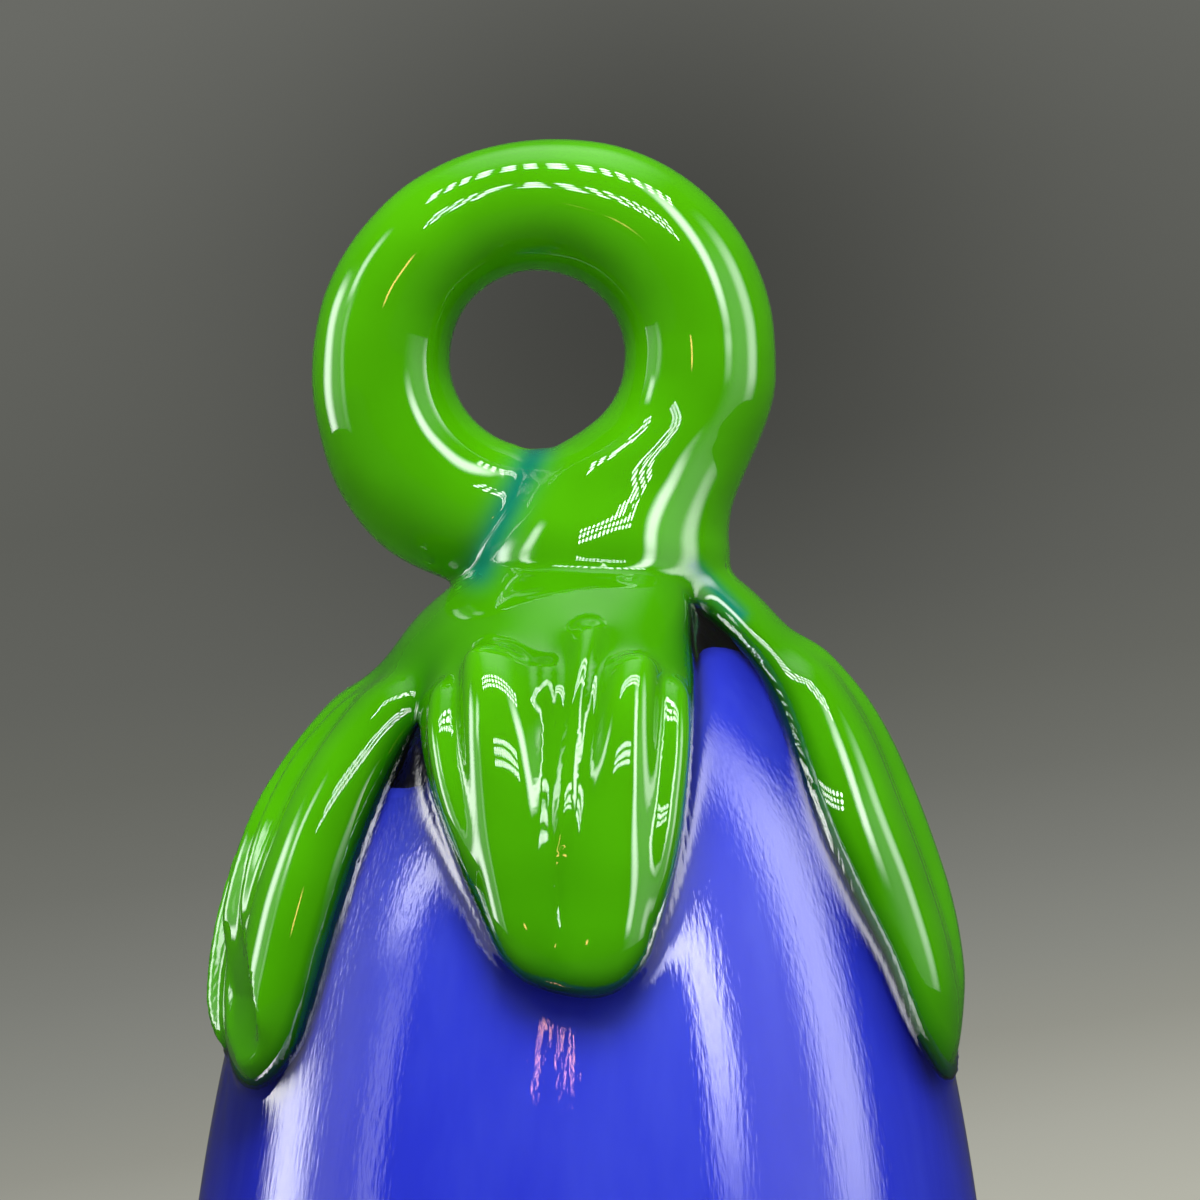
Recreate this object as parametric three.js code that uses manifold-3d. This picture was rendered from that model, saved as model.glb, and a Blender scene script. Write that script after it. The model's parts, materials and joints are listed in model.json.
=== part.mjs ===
// A glass eggplant ornament, worked hot: a hollow body of two blue layers, a green crown that
// closes its blow hole, five pressed sepals, and a stem curled into a hanging loop.
// Millimetres, +Z up. The body's axis is Z, it stands on z = 0, and its front faces -Y.
import * as THREE from "three";
import { mergeVertices } from "three/addons/utils/BufferGeometryUtils.js";
import Module from "manifold-3d";

// Body: radii and heights of its outside, from the flat that it stands on up to the neck.
const FOOT_RADIUS = 9;
const FOOT_ROUNDING = 7;
const BELLY_RADIUS = 23.8;
const BELLY_HEIGHT = 18;
const BELLY_DROP = 10;
const BELLY_TOP = 22;
const SHOULDER_REACH = 21.5;
const SHOULDER_SLOPE = 32.5;
const NECK_RADIUS = 6;
const NECK_HEIGHT = 75.2;
const CASING_WALL = 2.5;
const CORE_WALL = 1.5;
const CORE_TOP = 68;
const BLOW_HOLE_RADIUS = 4.6;

// Space left at every fused joint and between the layers.
const FUSE_GAP = 0.3;

// Crown: a pad over the neck, a little off the axis, with a plug down the blow hole.
const CROWN_RADIUS = 8.4;
const CROWN_SEAT_RADIUS = 6.6;
const CROWN_THICKNESS = 1.3;
const CROWN_SHOULDER = 2.2;
const CROWN_SKIRT = 5;
const CROWN_OFFSET = 0.6;
const PLUG_DEPTH = 3.5;

// Stem: a rod drawn up from the crown and wound once round the eye of the loop.
const EYE_RADIUS = 5.05;
const EYE_RISE = 12.1;
const EYE_OFFSET = -2.9;
const STEM_FOOT_RADIUS = 6.9;
const STEM_FOOT_OFFSET = 1;
const STEM_SINK = 1;
const STEM_LEAN = 10;
const RING_START = -25;
const RING_TOP = 90;
const RING_END = 252;
const TAIL_BACK = 1.3;
const ROD_START_RADIUS = 4.4;
const ROD_RISING_RADIUS = 4.3;
const ROD_TOP_RADIUS = 3.75;
const ROD_FALLING_RADIUS = 3.75;
const ROD_TAIL_RADIUS = 4.5;
// Radius of the rod at angles round the eye, counted from +X over the top.
const ROD_RADII = [
  [RING_START, ROD_START_RADIUS],
  [20, ROD_RISING_RADIUS],
  [RING_TOP, ROD_TOP_RADIUS],
  [145, ROD_FALLING_RADIUS],
  [228, ROD_TAIL_RADIUS],
];

// Sepals: where they start under the crown, and what their pressed ribs share.
const SEPAL_START = 1.5;
const SEPAL_ROOT_THICKNESS = 1.6;
const SEPAL_EDGE_THICKNESS = 0.35;
const SEPAL_TIP_WIDTH = 0.06;
const SEPAL_ROUNDNESS = 2.6;
const SEPAL_SWELL_END = 0.28;
const VALLEY_START = 0.06;
const VALLEY_END = 0.2;
const VALLEY_WIDTH = 0.16;
const HOLLOW_PLACE = 0.86;
const HOLLOW_WIDTH = 0.4;
const HOLLOW_LENGTH = 0.075;

// Length of each sepal along the body, half its greatest width, and its thickness.
const FRONT_LENGTH = 26.3;
const FRONT_HALF_WIDTH = 7.6;
const FRONT_THICKNESS = 3.4;
const RIGHT_LENGTH = 32.5;
const RIGHT_HALF_WIDTH = 8;
const RIGHT_THICKNESS = 3;
const BACK_RIGHT_LENGTH = 29;
const BACK_RIGHT_HALF_WIDTH = 7.4;
const BACK_RIGHT_THICKNESS = 3;
const BACK_LEFT_LENGTH = 27;
const BACK_LEFT_HALF_WIDTH = 7.2;
const BACK_LEFT_THICKNESS = 3;
const LEFT_LENGTH = 32.3;
const LEFT_HALF_WIDTH = 6.9;
const LEFT_THICKNESS = 3.2;
const LEFT_HOLLOW_DEPTH = 1.1;

// Each sepal: azimuth of its root and turn of its tip in degrees from -Y towards +X; its sizes; the
// width at its root and where it is widest, as shares; how blunt its tip is; its valleys as [place
// across it, depth]; and the hollow pressed in its end.
const SEPALS = [
  {
    name: "sepal_front",
    azimuth: -3,
    tipTurn: 0,
    length: FRONT_LENGTH,
    halfWidth: FRONT_HALF_WIDTH,
    thickness: FRONT_THICKNESS,
    rootWidth: 0.85,
    widestAt: 0.3,
    bluntness: 2.2,
    valleys: [
      [-0.66, 0.4],
      [0, 0.72],
      [0.66, 0.4],
    ],
    hollow: 0,
  },
  {
    name: "sepal_right",
    azimuth: 80,
    tipTurn: -3,
    length: RIGHT_LENGTH,
    halfWidth: RIGHT_HALF_WIDTH,
    thickness: RIGHT_THICKNESS,
    rootWidth: 0.3,
    widestAt: 0.58,
    bluntness: 1.7,
    valleys: [
      [-0.45, 0.45],
      [0.35, 0.5],
    ],
    hollow: 0,
  },
  {
    name: "sepal_back_right",
    azimuth: 151,
    tipTurn: 2,
    length: BACK_RIGHT_LENGTH,
    halfWidth: BACK_RIGHT_HALF_WIDTH,
    thickness: BACK_RIGHT_THICKNESS,
    rootWidth: 0.8,
    widestAt: 0.35,
    bluntness: 2.4,
    valleys: [
      [-0.6, 0.4],
      [0.05, 0.65],
      [0.64, 0.35],
    ],
    hollow: 0,
  },
  {
    name: "sepal_back_left",
    azimuth: 220,
    tipTurn: -2,
    length: BACK_LEFT_LENGTH,
    halfWidth: BACK_LEFT_HALF_WIDTH,
    thickness: BACK_LEFT_THICKNESS,
    rootWidth: 0.8,
    widestAt: 0.32,
    bluntness: 2,
    valleys: [
      [-0.62, 0.35],
      [0, 0.6],
      [0.6, 0.4],
    ],
    hollow: 0,
  },
  {
    name: "sepal_left",
    azimuth: 290,
    tipTurn: 4,
    length: LEFT_LENGTH,
    halfWidth: LEFT_HALF_WIDTH,
    thickness: LEFT_THICKNESS,
    rootWidth: 0.8,
    widestAt: 0.35,
    bluntness: 4,
    valleys: [
      [-0.4, 0.5],
      [0.35, 0.45],
    ],
    hollow: LEFT_HOLLOW_DEPTH,
  },
];

// Fineness of the facets.
const BODY_SIDES = 36;
const BOTTOM_STEPS = 6;
const SIDE_STEPS = 12;
const CROWN_SIDES = 32;
const ROD_SIDES = 20;
const ROD_STEP = 8;
const SEPAL_STATIONS = 22;
const SEPAL_OUTER_STEPS = 16;
const SEPAL_INNER_STEPS = 7;

const crownTop = NECK_HEIGHT + CROWN_THICKNESS;
const rad = THREE.MathUtils.degToRad;
const { lerp, smoothstep } = THREE.MathUtils;

const wasm = await Module();
wasm.setup();

// Turns a closed three.js geometry into a solid that can be cut and joined.
function solidOf(geometry) {
  geometry.deleteAttribute("normal");
  geometry.deleteAttribute("uv");
  const merged = mergeVertices(geometry);
  const mesh = new wasm.Mesh({
    numProp: 3,
    vertProperties: merged.attributes.position.array,
    triVerts: new Uint32Array(merged.index.array),
  });
  return new wasm.Manifold(mesh);
}

// Turns a solid back into a three.js geometry.
function geometryOf(solid) {
  const mesh = solid.getMesh();
  const geometry = new THREE.BufferGeometry();
  geometry.setAttribute("position", new THREE.BufferAttribute(mesh.vertProperties, 3));
  geometry.setIndex(new THREE.BufferAttribute(mesh.triVerts, 1));
  geometry.computeVertexNormals();
  return geometry;
}

// Revolves a profile of (radius, height) points about the body's axis.
function revolve(profile, sides) {
  return new THREE.LatheGeometry(profile, sides).rotateX(Math.PI / 2);
}

// Skins closed rings of as many points each, and closes both ends with a fan.
function loft(rings) {
  const count = rings[0].length;
  const positions = rings.flat().flatMap((point) => point.toArray());
  const indices = [];
  for (let i = 0; i + 1 < rings.length; i++) {
    for (let j = 0; j < count; j++) {
      const here = i * count + j;
      const beside = i * count + ((j + 1) % count);
      indices.push(here, beside, beside + count, here, beside + count, here + count);
    }
  }
  const fan = (ring, first, step) => {
    const centre = ring.reduce((sum, point) => sum.add(point), new THREE.Vector3());
    positions.push(...centre.divideScalar(count).toArray());
    for (let j = 0; j < count; j++) {
      const next = (j + count + step) % count;
      indices.push(positions.length / 3 - 1, first + next, first + j);
    }
  };
  fan(rings[0], 0, 1);
  fan(rings.at(-1), (rings.length - 1) * count, -1);
  const geometry = new THREE.BufferGeometry();
  geometry.setAttribute("position", new THREE.Float32BufferAttribute(positions, 3));
  geometry.setIndex(indices);
  return geometry;
}

// Follows [place, value] stations with a smooth step from each to the next.
function follow(stations, place) {
  const next = stations.findIndex(([at]) => at > place);
  if (next === 0) return stations[0][1];
  if (next < 0) return stations.at(-1)[1];
  const [from, low] = stations[next - 1];
  const [to, high] = stations[next];
  return lerp(low, high, smoothstep(place, from, to));
}

// Outside of the body in two curves of (radius, height): the round bottom, and the side that runs
// from the belly over the shoulder to the neck.
const bottomCurve = new THREE.CubicBezierCurve(
  new THREE.Vector2(FOOT_RADIUS, 0),
  new THREE.Vector2(FOOT_RADIUS + FOOT_ROUNDING, 0),
  new THREE.Vector2(BELLY_RADIUS, BELLY_HEIGHT - BELLY_DROP),
  new THREE.Vector2(BELLY_RADIUS, BELLY_HEIGHT),
);
const neckPoint = new THREE.Vector2(NECK_RADIUS, NECK_HEIGHT);
const shoulderArm = new THREE.Vector2(Math.cos(rad(SHOULDER_SLOPE)), -Math.sin(rad(SHOULDER_SLOPE)));
const sideCurve = new THREE.CubicBezierCurve(
  new THREE.Vector2(BELLY_RADIUS, BELLY_HEIGHT),
  new THREE.Vector2(BELLY_RADIUS, BELLY_TOP),
  neckPoint.clone().addScaledVector(shoulderArm, SHOULDER_REACH),
  neckPoint,
);
const sideLength = sideCurve.getLength();

// Point of a body curve at share u of its length, moved out along the normal.
function offsetPoint(curve, u, out) {
  const along = curve.getTangentAt(u);
  return curve.getPointAt(u).add(new THREE.Vector2(along.y, -along.x).multiplyScalar(out));
}

// Share of the side's length up to which its points, moved out by a distance, pass a test.
function shareWhile(out, passes) {
  let low = 0;
  let high = 1;
  for (let i = 0; i < 30; i++) {
    const middle = (low + high) / 2;
    if (passes(offsetPoint(sideCurve, middle, out))) low = middle;
    else high = middle;
  }
  return high;
}

// The body's outline from its foot to a share of its side, moved out by a distance.
function bodyOutline(out, share = 1) {
  const points = [new THREE.Vector2(0, -out)];
  for (let i = 0; i < BOTTOM_STEPS; i++) points.push(offsetPoint(bottomCurve, i / BOTTOM_STEPS, out));
  for (let i = 0; i <= SIDE_STEPS; i++) {
    points.push(offsetPoint(sideCurve, (i / SIDE_STEPS) * share, out));
  }
  return points;
}

// Everything inside the body's outline, grown by a distance, with its neck closed.
function bodyEnvelope(grow) {
  const outline = bodyOutline(grow);
  const top = new THREE.Vector2(0, outline.at(-1).y);
  return solidOf(revolve([...outline, top], BODY_SIDES));
}

// Outer gather of transparent cobalt glass, with a short lip round the blow hole.
function casing() {
  const toHole = shareWhile(-CASING_WALL, (point) => point.x > BLOW_HOLE_RADIUS);
  const inside = bodyOutline(-CASING_WALL, toHole).reverse();
  const lip = new THREE.Vector2(BLOW_HOLE_RADIUS, NECK_HEIGHT);
  return revolve([...bodyOutline(0), lip, ...inside], BODY_SIDES);
}

// Inner bubble of opaque blue glass, open where its edge stops short of the neck.
function core() {
  const layer = (out) => bodyOutline(out, shareWhile(out, (point) => point.y < CORE_TOP));
  const outside = layer(-CASING_WALL - FUSE_GAP);
  const inside = layer(-CASING_WALL - FUSE_GAP - CORE_WALL);
  return revolve([...outside, ...inside.reverse()], BODY_SIDES);
}

// The crown before it is fitted to the body, grown by a distance: a disc with a round shoulder.
function crownBlank(grow) {
  const profile = [new THREE.Vector2(0, crownTop - CROWN_SKIRT - grow)];
  profile.push(new THREE.Vector2(CROWN_RADIUS + grow, crownTop - CROWN_SKIRT - grow));
  const steps = 6;
  for (let i = 0; i <= steps; i++) {
    const turn = (i / steps) * (Math.PI / 2);
    const radius = lerp(CROWN_SEAT_RADIUS, CROWN_RADIUS, Math.cos(turn));
    const height = crownTop - CROWN_SHOULDER * (1 - Math.sin(turn));
    profile.push(new THREE.Vector2(radius + grow, height + grow));
  }
  profile.push(new THREE.Vector2(0, crownTop + grow));
  return solidOf(revolve(profile, CROWN_SIDES).translate(CROWN_OFFSET, 0, 0));
}

// Glass that sank down the blow hole, with a round end.
function plug() {
  const radius = BLOW_HOLE_RADIUS - FUSE_GAP;
  const profile = [];
  const steps = 5;
  for (let i = 0; i <= steps; i++) {
    const turn = (i / steps) * (Math.PI / 2);
    const height = NECK_HEIGHT - PLUG_DEPTH + (PLUG_DEPTH / 2) * (1 - Math.cos(turn));
    profile.push(new THREE.Vector2(radius * Math.sin(turn), height));
  }
  const top = lerp(NECK_HEIGHT + FUSE_GAP, crownTop, 0.5);
  profile.push(new THREE.Vector2(radius, top), new THREE.Vector2(0, top));
  return solidOf(revolve(profile, CROWN_SIDES));
}

// Green pad that closes the blow hole and carries the stem.
function crown() {
  return geometryOf(crownBlank(0).subtract(bodyEnvelope(FUSE_GAP)).add(plug()));
}

// Radius of the rod at an angle round the eye.
const rodRadius = (angle) => follow(ROD_RADII, angle);

// Middle of the rod at an angle round the eye: it lies against the eye all the way round, and the
// tail slips behind the foot.
function ringPoint(angle) {
  const reach = EYE_RADIUS + rodRadius(angle);
  const back = TAIL_BACK * smoothstep(angle, RING_END / 2, RING_END);
  const x = EYE_OFFSET + reach * Math.cos(rad(angle));
  return new THREE.Vector3(x, back, crownTop + EYE_RISE + reach * Math.sin(rad(angle)));
}

// Ring of points round the rod, square to the way that it runs.
function rodSection(middle, along, radius) {
  const side = new THREE.Vector3(0, 1, 0).cross(along).normalize();
  const depth = along.clone().cross(side).normalize();
  return Array.from({ length: ROD_SIDES }, (_, i) => {
    const turn = (i / ROD_SIDES) * 2 * Math.PI;
    const point = middle.clone().addScaledVector(side, radius * Math.cos(turn));
    return point.addScaledVector(depth, radius * Math.sin(turn));
  });
}

// The rod's sections from one angle round the eye to another, grown by a distance.
function ringSections(from, to, grow = 0) {
  const steps = Math.round((to - from) / ROD_STEP);
  return Array.from({ length: steps + 1 }, (_, i) => {
    const angle = lerp(from, to, i / steps);
    const along = ringPoint(angle + 1).sub(ringPoint(angle - 1)).normalize();
    return rodSection(ringPoint(angle), along, rodRadius(angle) + grow);
  });
}

// The stem's foot, which leans and narrows from the crown to the start of the ring.
function footSections() {
  const start = new THREE.Vector3(STEM_FOOT_OFFSET, 0, crownTop - STEM_SINK);
  const end = ringPoint(RING_START);
  const arm = start.distanceTo(end) / 3;
  const up = new THREE.Vector3(Math.sin(rad(STEM_LEAN)), 0, Math.cos(rad(STEM_LEAN)));
  const on = ringPoint(RING_START + 1).sub(ringPoint(RING_START - 1)).normalize();
  const path = new THREE.CubicBezierCurve3(
    start,
    start.clone().addScaledVector(up, arm),
    end.clone().addScaledVector(on, -arm),
    end,
  );
  const steps = 7;
  return Array.from({ length: steps }, (_, i) => {
    const radius = lerp(STEM_FOOT_RADIUS, rodRadius(RING_START), (i / steps) ** 1.4);
    return rodSection(path.getPointAt(i / steps), path.getTangentAt(i / steps), radius);
  });
}

// The rod's rounded end, which closes like half a ball.
function tailSections(grow = 0) {
  const radius = rodRadius(RING_END) + grow;
  const middle = ringPoint(RING_END);
  const along = ringPoint(RING_END + 1).sub(ringPoint(RING_END - 1)).normalize();
  const steps = 5;
  return Array.from({ length: steps }, (_, i) => {
    const turn = ((i + 1) / (steps + 0.5)) * (Math.PI / 2);
    const point = middle.clone().addScaledVector(along, radius * Math.sin(turn));
    return rodSection(point, along, radius * Math.cos(turn));
  });
}

// The half of the ring that comes down from its top to the tail, grown by a distance.
function fallingHalf(grow) {
  return solidOf(loft([...ringSections(RING_TOP, RING_END, grow), ...tailSections(grow)]));
}

// Stem and loop in one: its two halves are skinned apart, because the tail runs into the foot.
function stemLoop() {
  const rising = solidOf(loft([...footSections(), ...ringSections(RING_START, RING_TOP)]));
  return geometryOf(rising.add(fallingHalf(0)).subtract(crownBlank(FUSE_GAP)));
}

// Half width of a sepal at share v of its length.
function sepalHalfWidth(sepal, v) {
  const { halfWidth, rootWidth, widestAt, bluntness } = sepal;
  if (v < widestAt) return halfWidth * lerp(rootWidth, 1, smoothstep(v, 0, widestAt));
  const towardsTip = (v - widestAt) / (1 - widestAt);
  return halfWidth * Math.max(SEPAL_TIP_WIDTH, Math.sqrt(1 - towardsTip ** bluntness));
}

// Height of a sepal's face above its back at u across it (-1 to 1) and v along it: a pillow with
// pressed valleys that fade in below the crown, and a hollow near the end of some.
function sepalHeight(sepal, u, v) {
  const pillow = Math.sqrt(1 - Math.abs(u) ** SEPAL_ROUNDNESS);
  const swell = lerp(SEPAL_ROOT_THICKNESS, sepal.thickness, smoothstep(v, 0, SEPAL_SWELL_END));
  const tip = Math.sqrt(1 - v ** 9);
  const press = smoothstep(v, VALLEY_START, VALLEY_END);
  const valley = ([at, depth]) => depth * Math.exp(-(((u - at) / VALLEY_WIDTH) ** 2));
  const pressed = 1 - press * sepal.valleys.reduce((sum, each) => sum + valley(each), 0);
  const away = Math.hypot(u / HOLLOW_WIDTH, (v - HOLLOW_PLACE) / HOLLOW_LENGTH);
  const height = swell * pillow * pressed * tip - sepal.hollow * Math.exp(-away * away);
  return Math.max(SEPAL_EDGE_THICKNESS, height);
}

// Point of a sepal: share v of its length, an angle off its middle, and a distance off the body.
function sepalPoint(sepal, v, angle, out) {
  const u = 1 - (SEPAL_START + v * sepal.length) / sideLength;
  const { x: radius, y: height } = offsetPoint(sideCurve, u, out);
  const azimuth = rad(sepal.azimuth + sepal.tipTurn * v * v) + angle;
  return new THREE.Vector3(radius * Math.sin(azimuth), -radius * Math.cos(azimuth), height);
}

// Angles from a sepal's middle to its two edges: its own half width, or the wall that it shares
// with its neighbour where the two run together under the crown.
function sepalEdges(sepal, v, toLast, toNext) {
  const u = 1 - (SEPAL_START + v * sepal.length) / sideLength;
  const radius = sideCurve.getPointAt(u).x;
  const own = sepalHalfWidth(sepal, v) / radius;
  const turned = rad(sepal.tipTurn * v * v);
  const spare = FUSE_GAP / 2 / radius;
  return [-Math.min(own, toLast / 2 - spare + turned), Math.min(own, toNext / 2 - spare - turned)];
}

// One sepal, skinned along its length: each ring runs over its face and back along the body.
function sepalSolid(sepal, last, next) {
  const toLast = rad(THREE.MathUtils.euclideanModulo(sepal.azimuth - last.azimuth, 360));
  const toNext = rad(THREE.MathUtils.euclideanModulo(next.azimuth - sepal.azimuth, 360));
  const rings = [];
  for (let i = 0; i <= SEPAL_STATIONS; i++) {
    const v = Math.sin((i / SEPAL_STATIONS) * (Math.PI / 2)) ** 1.15 * 0.998;
    const [low, high] = sepalEdges(sepal, v, toLast, toNext);
    const ring = [];
    for (let j = 0; j <= SEPAL_INNER_STEPS; j++) {
      ring.push(sepalPoint(sepal, v, lerp(low, high, j / SEPAL_INNER_STEPS), FUSE_GAP));
    }
    for (let j = 0; j <= SEPAL_OUTER_STEPS; j++) {
      const across = Math.cos((j / SEPAL_OUTER_STEPS) * Math.PI);
      const out = FUSE_GAP + sepalHeight(sepal, across, v);
      ring.push(sepalPoint(sepal, v, lerp(low, high, (across + 1) / 2), out));
    }
    rings.push(ring);
  }
  const fitted = solidOf(loft(rings)).subtract(crownBlank(FUSE_GAP));
  return geometryOf(fitted.subtract(fallingHalf(FUSE_GAP)));
}

const cobaltGlass = new THREE.MeshStandardMaterial({ color: 0x2b33c8, roughness: 0.05, metalness: 0 });
cobaltGlass.transparent = true;
cobaltGlass.opacity = 0.55;
const opaqueBlueGlass = new THREE.MeshStandardMaterial({ color: 0x4650dc, roughness: 0.1, metalness: 0 });
const greenGlass = new THREE.MeshStandardMaterial({ color: 0x4da30a, roughness: 0.06, metalness: 0 });

// A named piece of the ornament, with a material of its own.
function piece(name, geometry, glass) {
  const mesh = new THREE.Mesh(geometry, glass.clone());
  mesh.name = name;
  return mesh;
}

const ornament = new THREE.Group();
ornament.add(piece("body_casing", casing(), cobaltGlass));
ornament.add(piece("body_core", core(), opaqueBlueGlass));
ornament.add(piece("crown_pad", crown(), greenGlass));
ornament.add(piece("stem_loop", stemLoop(), greenGlass));
SEPALS.forEach((sepal, i) => {
  const last = SEPALS.at(i - 1);
  const next = SEPALS[(i + 1) % SEPALS.length];
  ornament.add(piece(sepal.name, sepalSolid(sepal, last, next), greenGlass));
});

export default ornament;
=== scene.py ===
# %% [markdown]
# # A glass eggplant ornament
# The real one is made hot. A bubble of opaque blue glass is cased in transparent cobalt glass and
# blown into an eggplant. A bit of green glass is dropped on its neck, five sepals are drawn down
# from it and pressed with a ribbed tool, and a rod is curled round into the hanging loop.
# Here the imported model gives the body's size and the place of the loop's eye, and this script shapes
# every piece and gives it the surface of fire-polished glass. Shapes are worked out in millimetres and
# scaled to metres.

import json
import math

import bpy
import bmesh
import numpy as np
from mathutils import Matrix, Vector


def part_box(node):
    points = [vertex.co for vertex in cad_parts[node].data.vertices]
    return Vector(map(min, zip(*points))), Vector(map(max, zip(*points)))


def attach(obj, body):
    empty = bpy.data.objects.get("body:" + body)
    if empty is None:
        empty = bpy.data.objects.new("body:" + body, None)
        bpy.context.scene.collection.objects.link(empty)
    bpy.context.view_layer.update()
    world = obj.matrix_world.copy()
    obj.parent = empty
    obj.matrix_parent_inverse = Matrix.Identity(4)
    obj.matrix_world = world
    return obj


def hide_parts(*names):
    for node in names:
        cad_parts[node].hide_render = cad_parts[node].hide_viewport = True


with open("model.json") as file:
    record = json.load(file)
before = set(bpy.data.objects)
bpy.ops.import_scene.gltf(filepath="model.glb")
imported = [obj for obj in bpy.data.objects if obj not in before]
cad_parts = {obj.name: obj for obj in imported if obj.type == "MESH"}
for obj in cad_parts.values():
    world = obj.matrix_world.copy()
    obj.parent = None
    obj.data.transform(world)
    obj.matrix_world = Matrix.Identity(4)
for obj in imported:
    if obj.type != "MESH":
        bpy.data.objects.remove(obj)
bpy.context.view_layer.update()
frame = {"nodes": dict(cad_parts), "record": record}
scene = bpy.context.scene

MM = 0.001

print("pieces:", ", ".join(sorted(frame["nodes"])))

# %% [markdown]
# ## The camera
# The photograph was taken from close by, level with the leaves, so near leaves look larger than
# far ones. A camera at the same distance gives the same perspective. The picture is a square, 69 mm
# across where the ornament's axis stands.

# %% Place the camera
CAMERA_DISTANCE = 220.0
VIEW_WIDTH = 69.0
AIM = (0.7, 0.0, 74.7)
SENSOR_WIDTH = 36.0
# Nothing nearer or farther than this is drawn, in mm.
NEAREST, FARTHEST = 10.0, 10000.0

camera = bpy.data.objects.new("camera", bpy.data.cameras.new("camera"))
camera.data.sensor_width = SENSOR_WIDTH
camera.data.lens = SENSOR_WIDTH * CAMERA_DISTANCE / VIEW_WIDTH
camera.data.clip_start = NEAREST * MM
camera.data.clip_end = FARTHEST * MM
camera.location = (AIM[0] * MM, (AIM[1] - CAMERA_DISTANCE) * MM, AIM[2] * MM)
camera.rotation_euler = (math.radians(90), 0, 0)
scene.collection.objects.link(camera)
scene.camera = camera
print("lens in mm:", round(camera.data.lens, 1))

# %% [markdown]
# ## The outline of the body
# A blown body is round, so one curve of radius and height describes it. The curve has two parts: a
# round bottom, and a side that rises from the belly over the shoulder to the neck. Cubic Bezier
# curves suit it, because glass that sags under its own heat has no straight runs and no corners.
# Above the neck the curve goes on as a dome, which only carries the crown.

# %% Draw the outline
FOOT_RADIUS = 9.0
FOOT_ROUNDING = 7.0
BELLY_HEIGHT = 18.0
BELLY_DROP = 10.0
BELLY_TOP = 22.0
SHOULDER_REACH = 21.5
SHOULDER_SLOPE = math.radians(32.5)
NECK_RADIUS = 6.0

# The casing's own box gives the two sizes that are left.
BELLY_RADIUS, _, NECK_HEIGHT = (float(value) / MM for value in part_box("body_casing")[1])

bottom_controls = np.array([
    (FOOT_RADIUS, 0.0),
    (FOOT_RADIUS + FOOT_ROUNDING, 0.0),
    (BELLY_RADIUS, BELLY_HEIGHT - BELLY_DROP),
    (BELLY_RADIUS, BELLY_HEIGHT),
])
side_controls = np.array([
    (NECK_RADIUS, NECK_HEIGHT),
    (
        NECK_RADIUS + SHOULDER_REACH * math.cos(SHOULDER_SLOPE),
        NECK_HEIGHT - SHOULDER_REACH * math.sin(SHOULDER_SLOPE),
    ),
    (BELLY_RADIUS, BELLY_TOP),
    (BELLY_RADIUS, BELLY_HEIGHT),
])


def bezier(controls, t, order=0):
    """Points of a cubic curve at t from 0 to 1, or its first or second slope there."""
    t = np.asarray(t, float)[..., None]
    a, b, c, d = controls
    if order == 0:
        return (1 - t) ** 3 * a + 3 * (1 - t) ** 2 * t * b + 3 * (1 - t) * t**2 * c + t**3 * d
    if order == 1:
        return 3 * ((1 - t) ** 2 * (b - a) + 2 * (1 - t) * t * (c - b) + t**2 * (d - c))
    return 6 * ((1 - t) * (c - 2 * b + a) + t * (d - 2 * c + b))


# Short steps that the side is measured in.
SIDE_STEPS = 4000
side_t = np.linspace(0, 1, SIDE_STEPS + 1)
side_steps = np.diff(bezier(side_controls, side_t), axis=0)
side_s = np.concatenate([[0.0], np.cumsum(np.hypot(side_steps[:, 0], side_steps[:, 1]))])
SIDE_LENGTH = float(side_s[-1])
print("from neck to belly along the glass, mm:", round(SIDE_LENGTH, 1))


def moved_out(controls, t, out):
    """Radius and height of one of the body's curves at t, moved out by a distance."""
    point = bezier(controls, t)
    slope = bezier(controls, t, 1)
    slope /= np.linalg.norm(slope, axis=-1, keepdims=True)
    return point[..., 0] - slope[..., 1] * out, point[..., 1] + slope[..., 0] * out


def outline(s, out=0.0):
    """Radius and height of the body at s mm below its neck, moved out by a distance."""
    return moved_out(side_controls, np.interp(s, side_s, side_t), out)


# %% [markdown]
# ## Places on the body
# Sepals are soft glass draped over the body, so they are easiest to describe on its surface: how
# far below the neck, how far round, and how high above the glass. The nearest point of the outline
# gives all three. It is found by guessing it in a coarse table and bettering the guess with a few
# Newton steps.

# %% Find where a point lies on the body
DOME_RADIUS = NECK_RADIUS / math.sin(SHOULDER_SLOPE)
DOME_CENTRE = NECK_HEIGHT - DOME_RADIUS * math.cos(SHOULDER_SLOPE)
# The least bend that a Newton step divides by, so that it can't leap away.
LEAST_BEND = 50.0


def nearest(pairs, t, steps):
    """Betters the guess t of the outline's nearest point to (radius, height) pairs."""
    for _ in range(steps):
        away = bezier(side_controls, t) - pairs
        first = bezier(side_controls, t, 1)
        second = bezier(side_controls, t, 2)
        slope = (away * first).sum(-1)
        bend = (first**2).sum(-1) + (away * second).sum(-1)
        t = np.clip(t - slope / np.maximum(bend, LEAST_BEND), 0, 1)
    return t


# The coarse table: a square grid of radii and heights, 1 mm apart, each tried against as many
# points of the outline.
TABLE_RADIUS = 60
TABLE_HEIGHT = 100
TABLE_TRIES = 81
table_radius, table_z = np.indices((TABLE_RADIUS, TABLE_HEIGHT)).astype(float)
table_pairs = np.stack([table_radius.ravel(), table_z.ravel()], -1)
table_t = np.linspace(0, 1, TABLE_TRIES)
table_away = table_pairs[:, None, :] - bezier(side_controls, table_t)[None]
table_t = nearest(table_pairs, table_t[np.argmin((table_away**2).sum(-1), 1)], 6)


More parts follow.
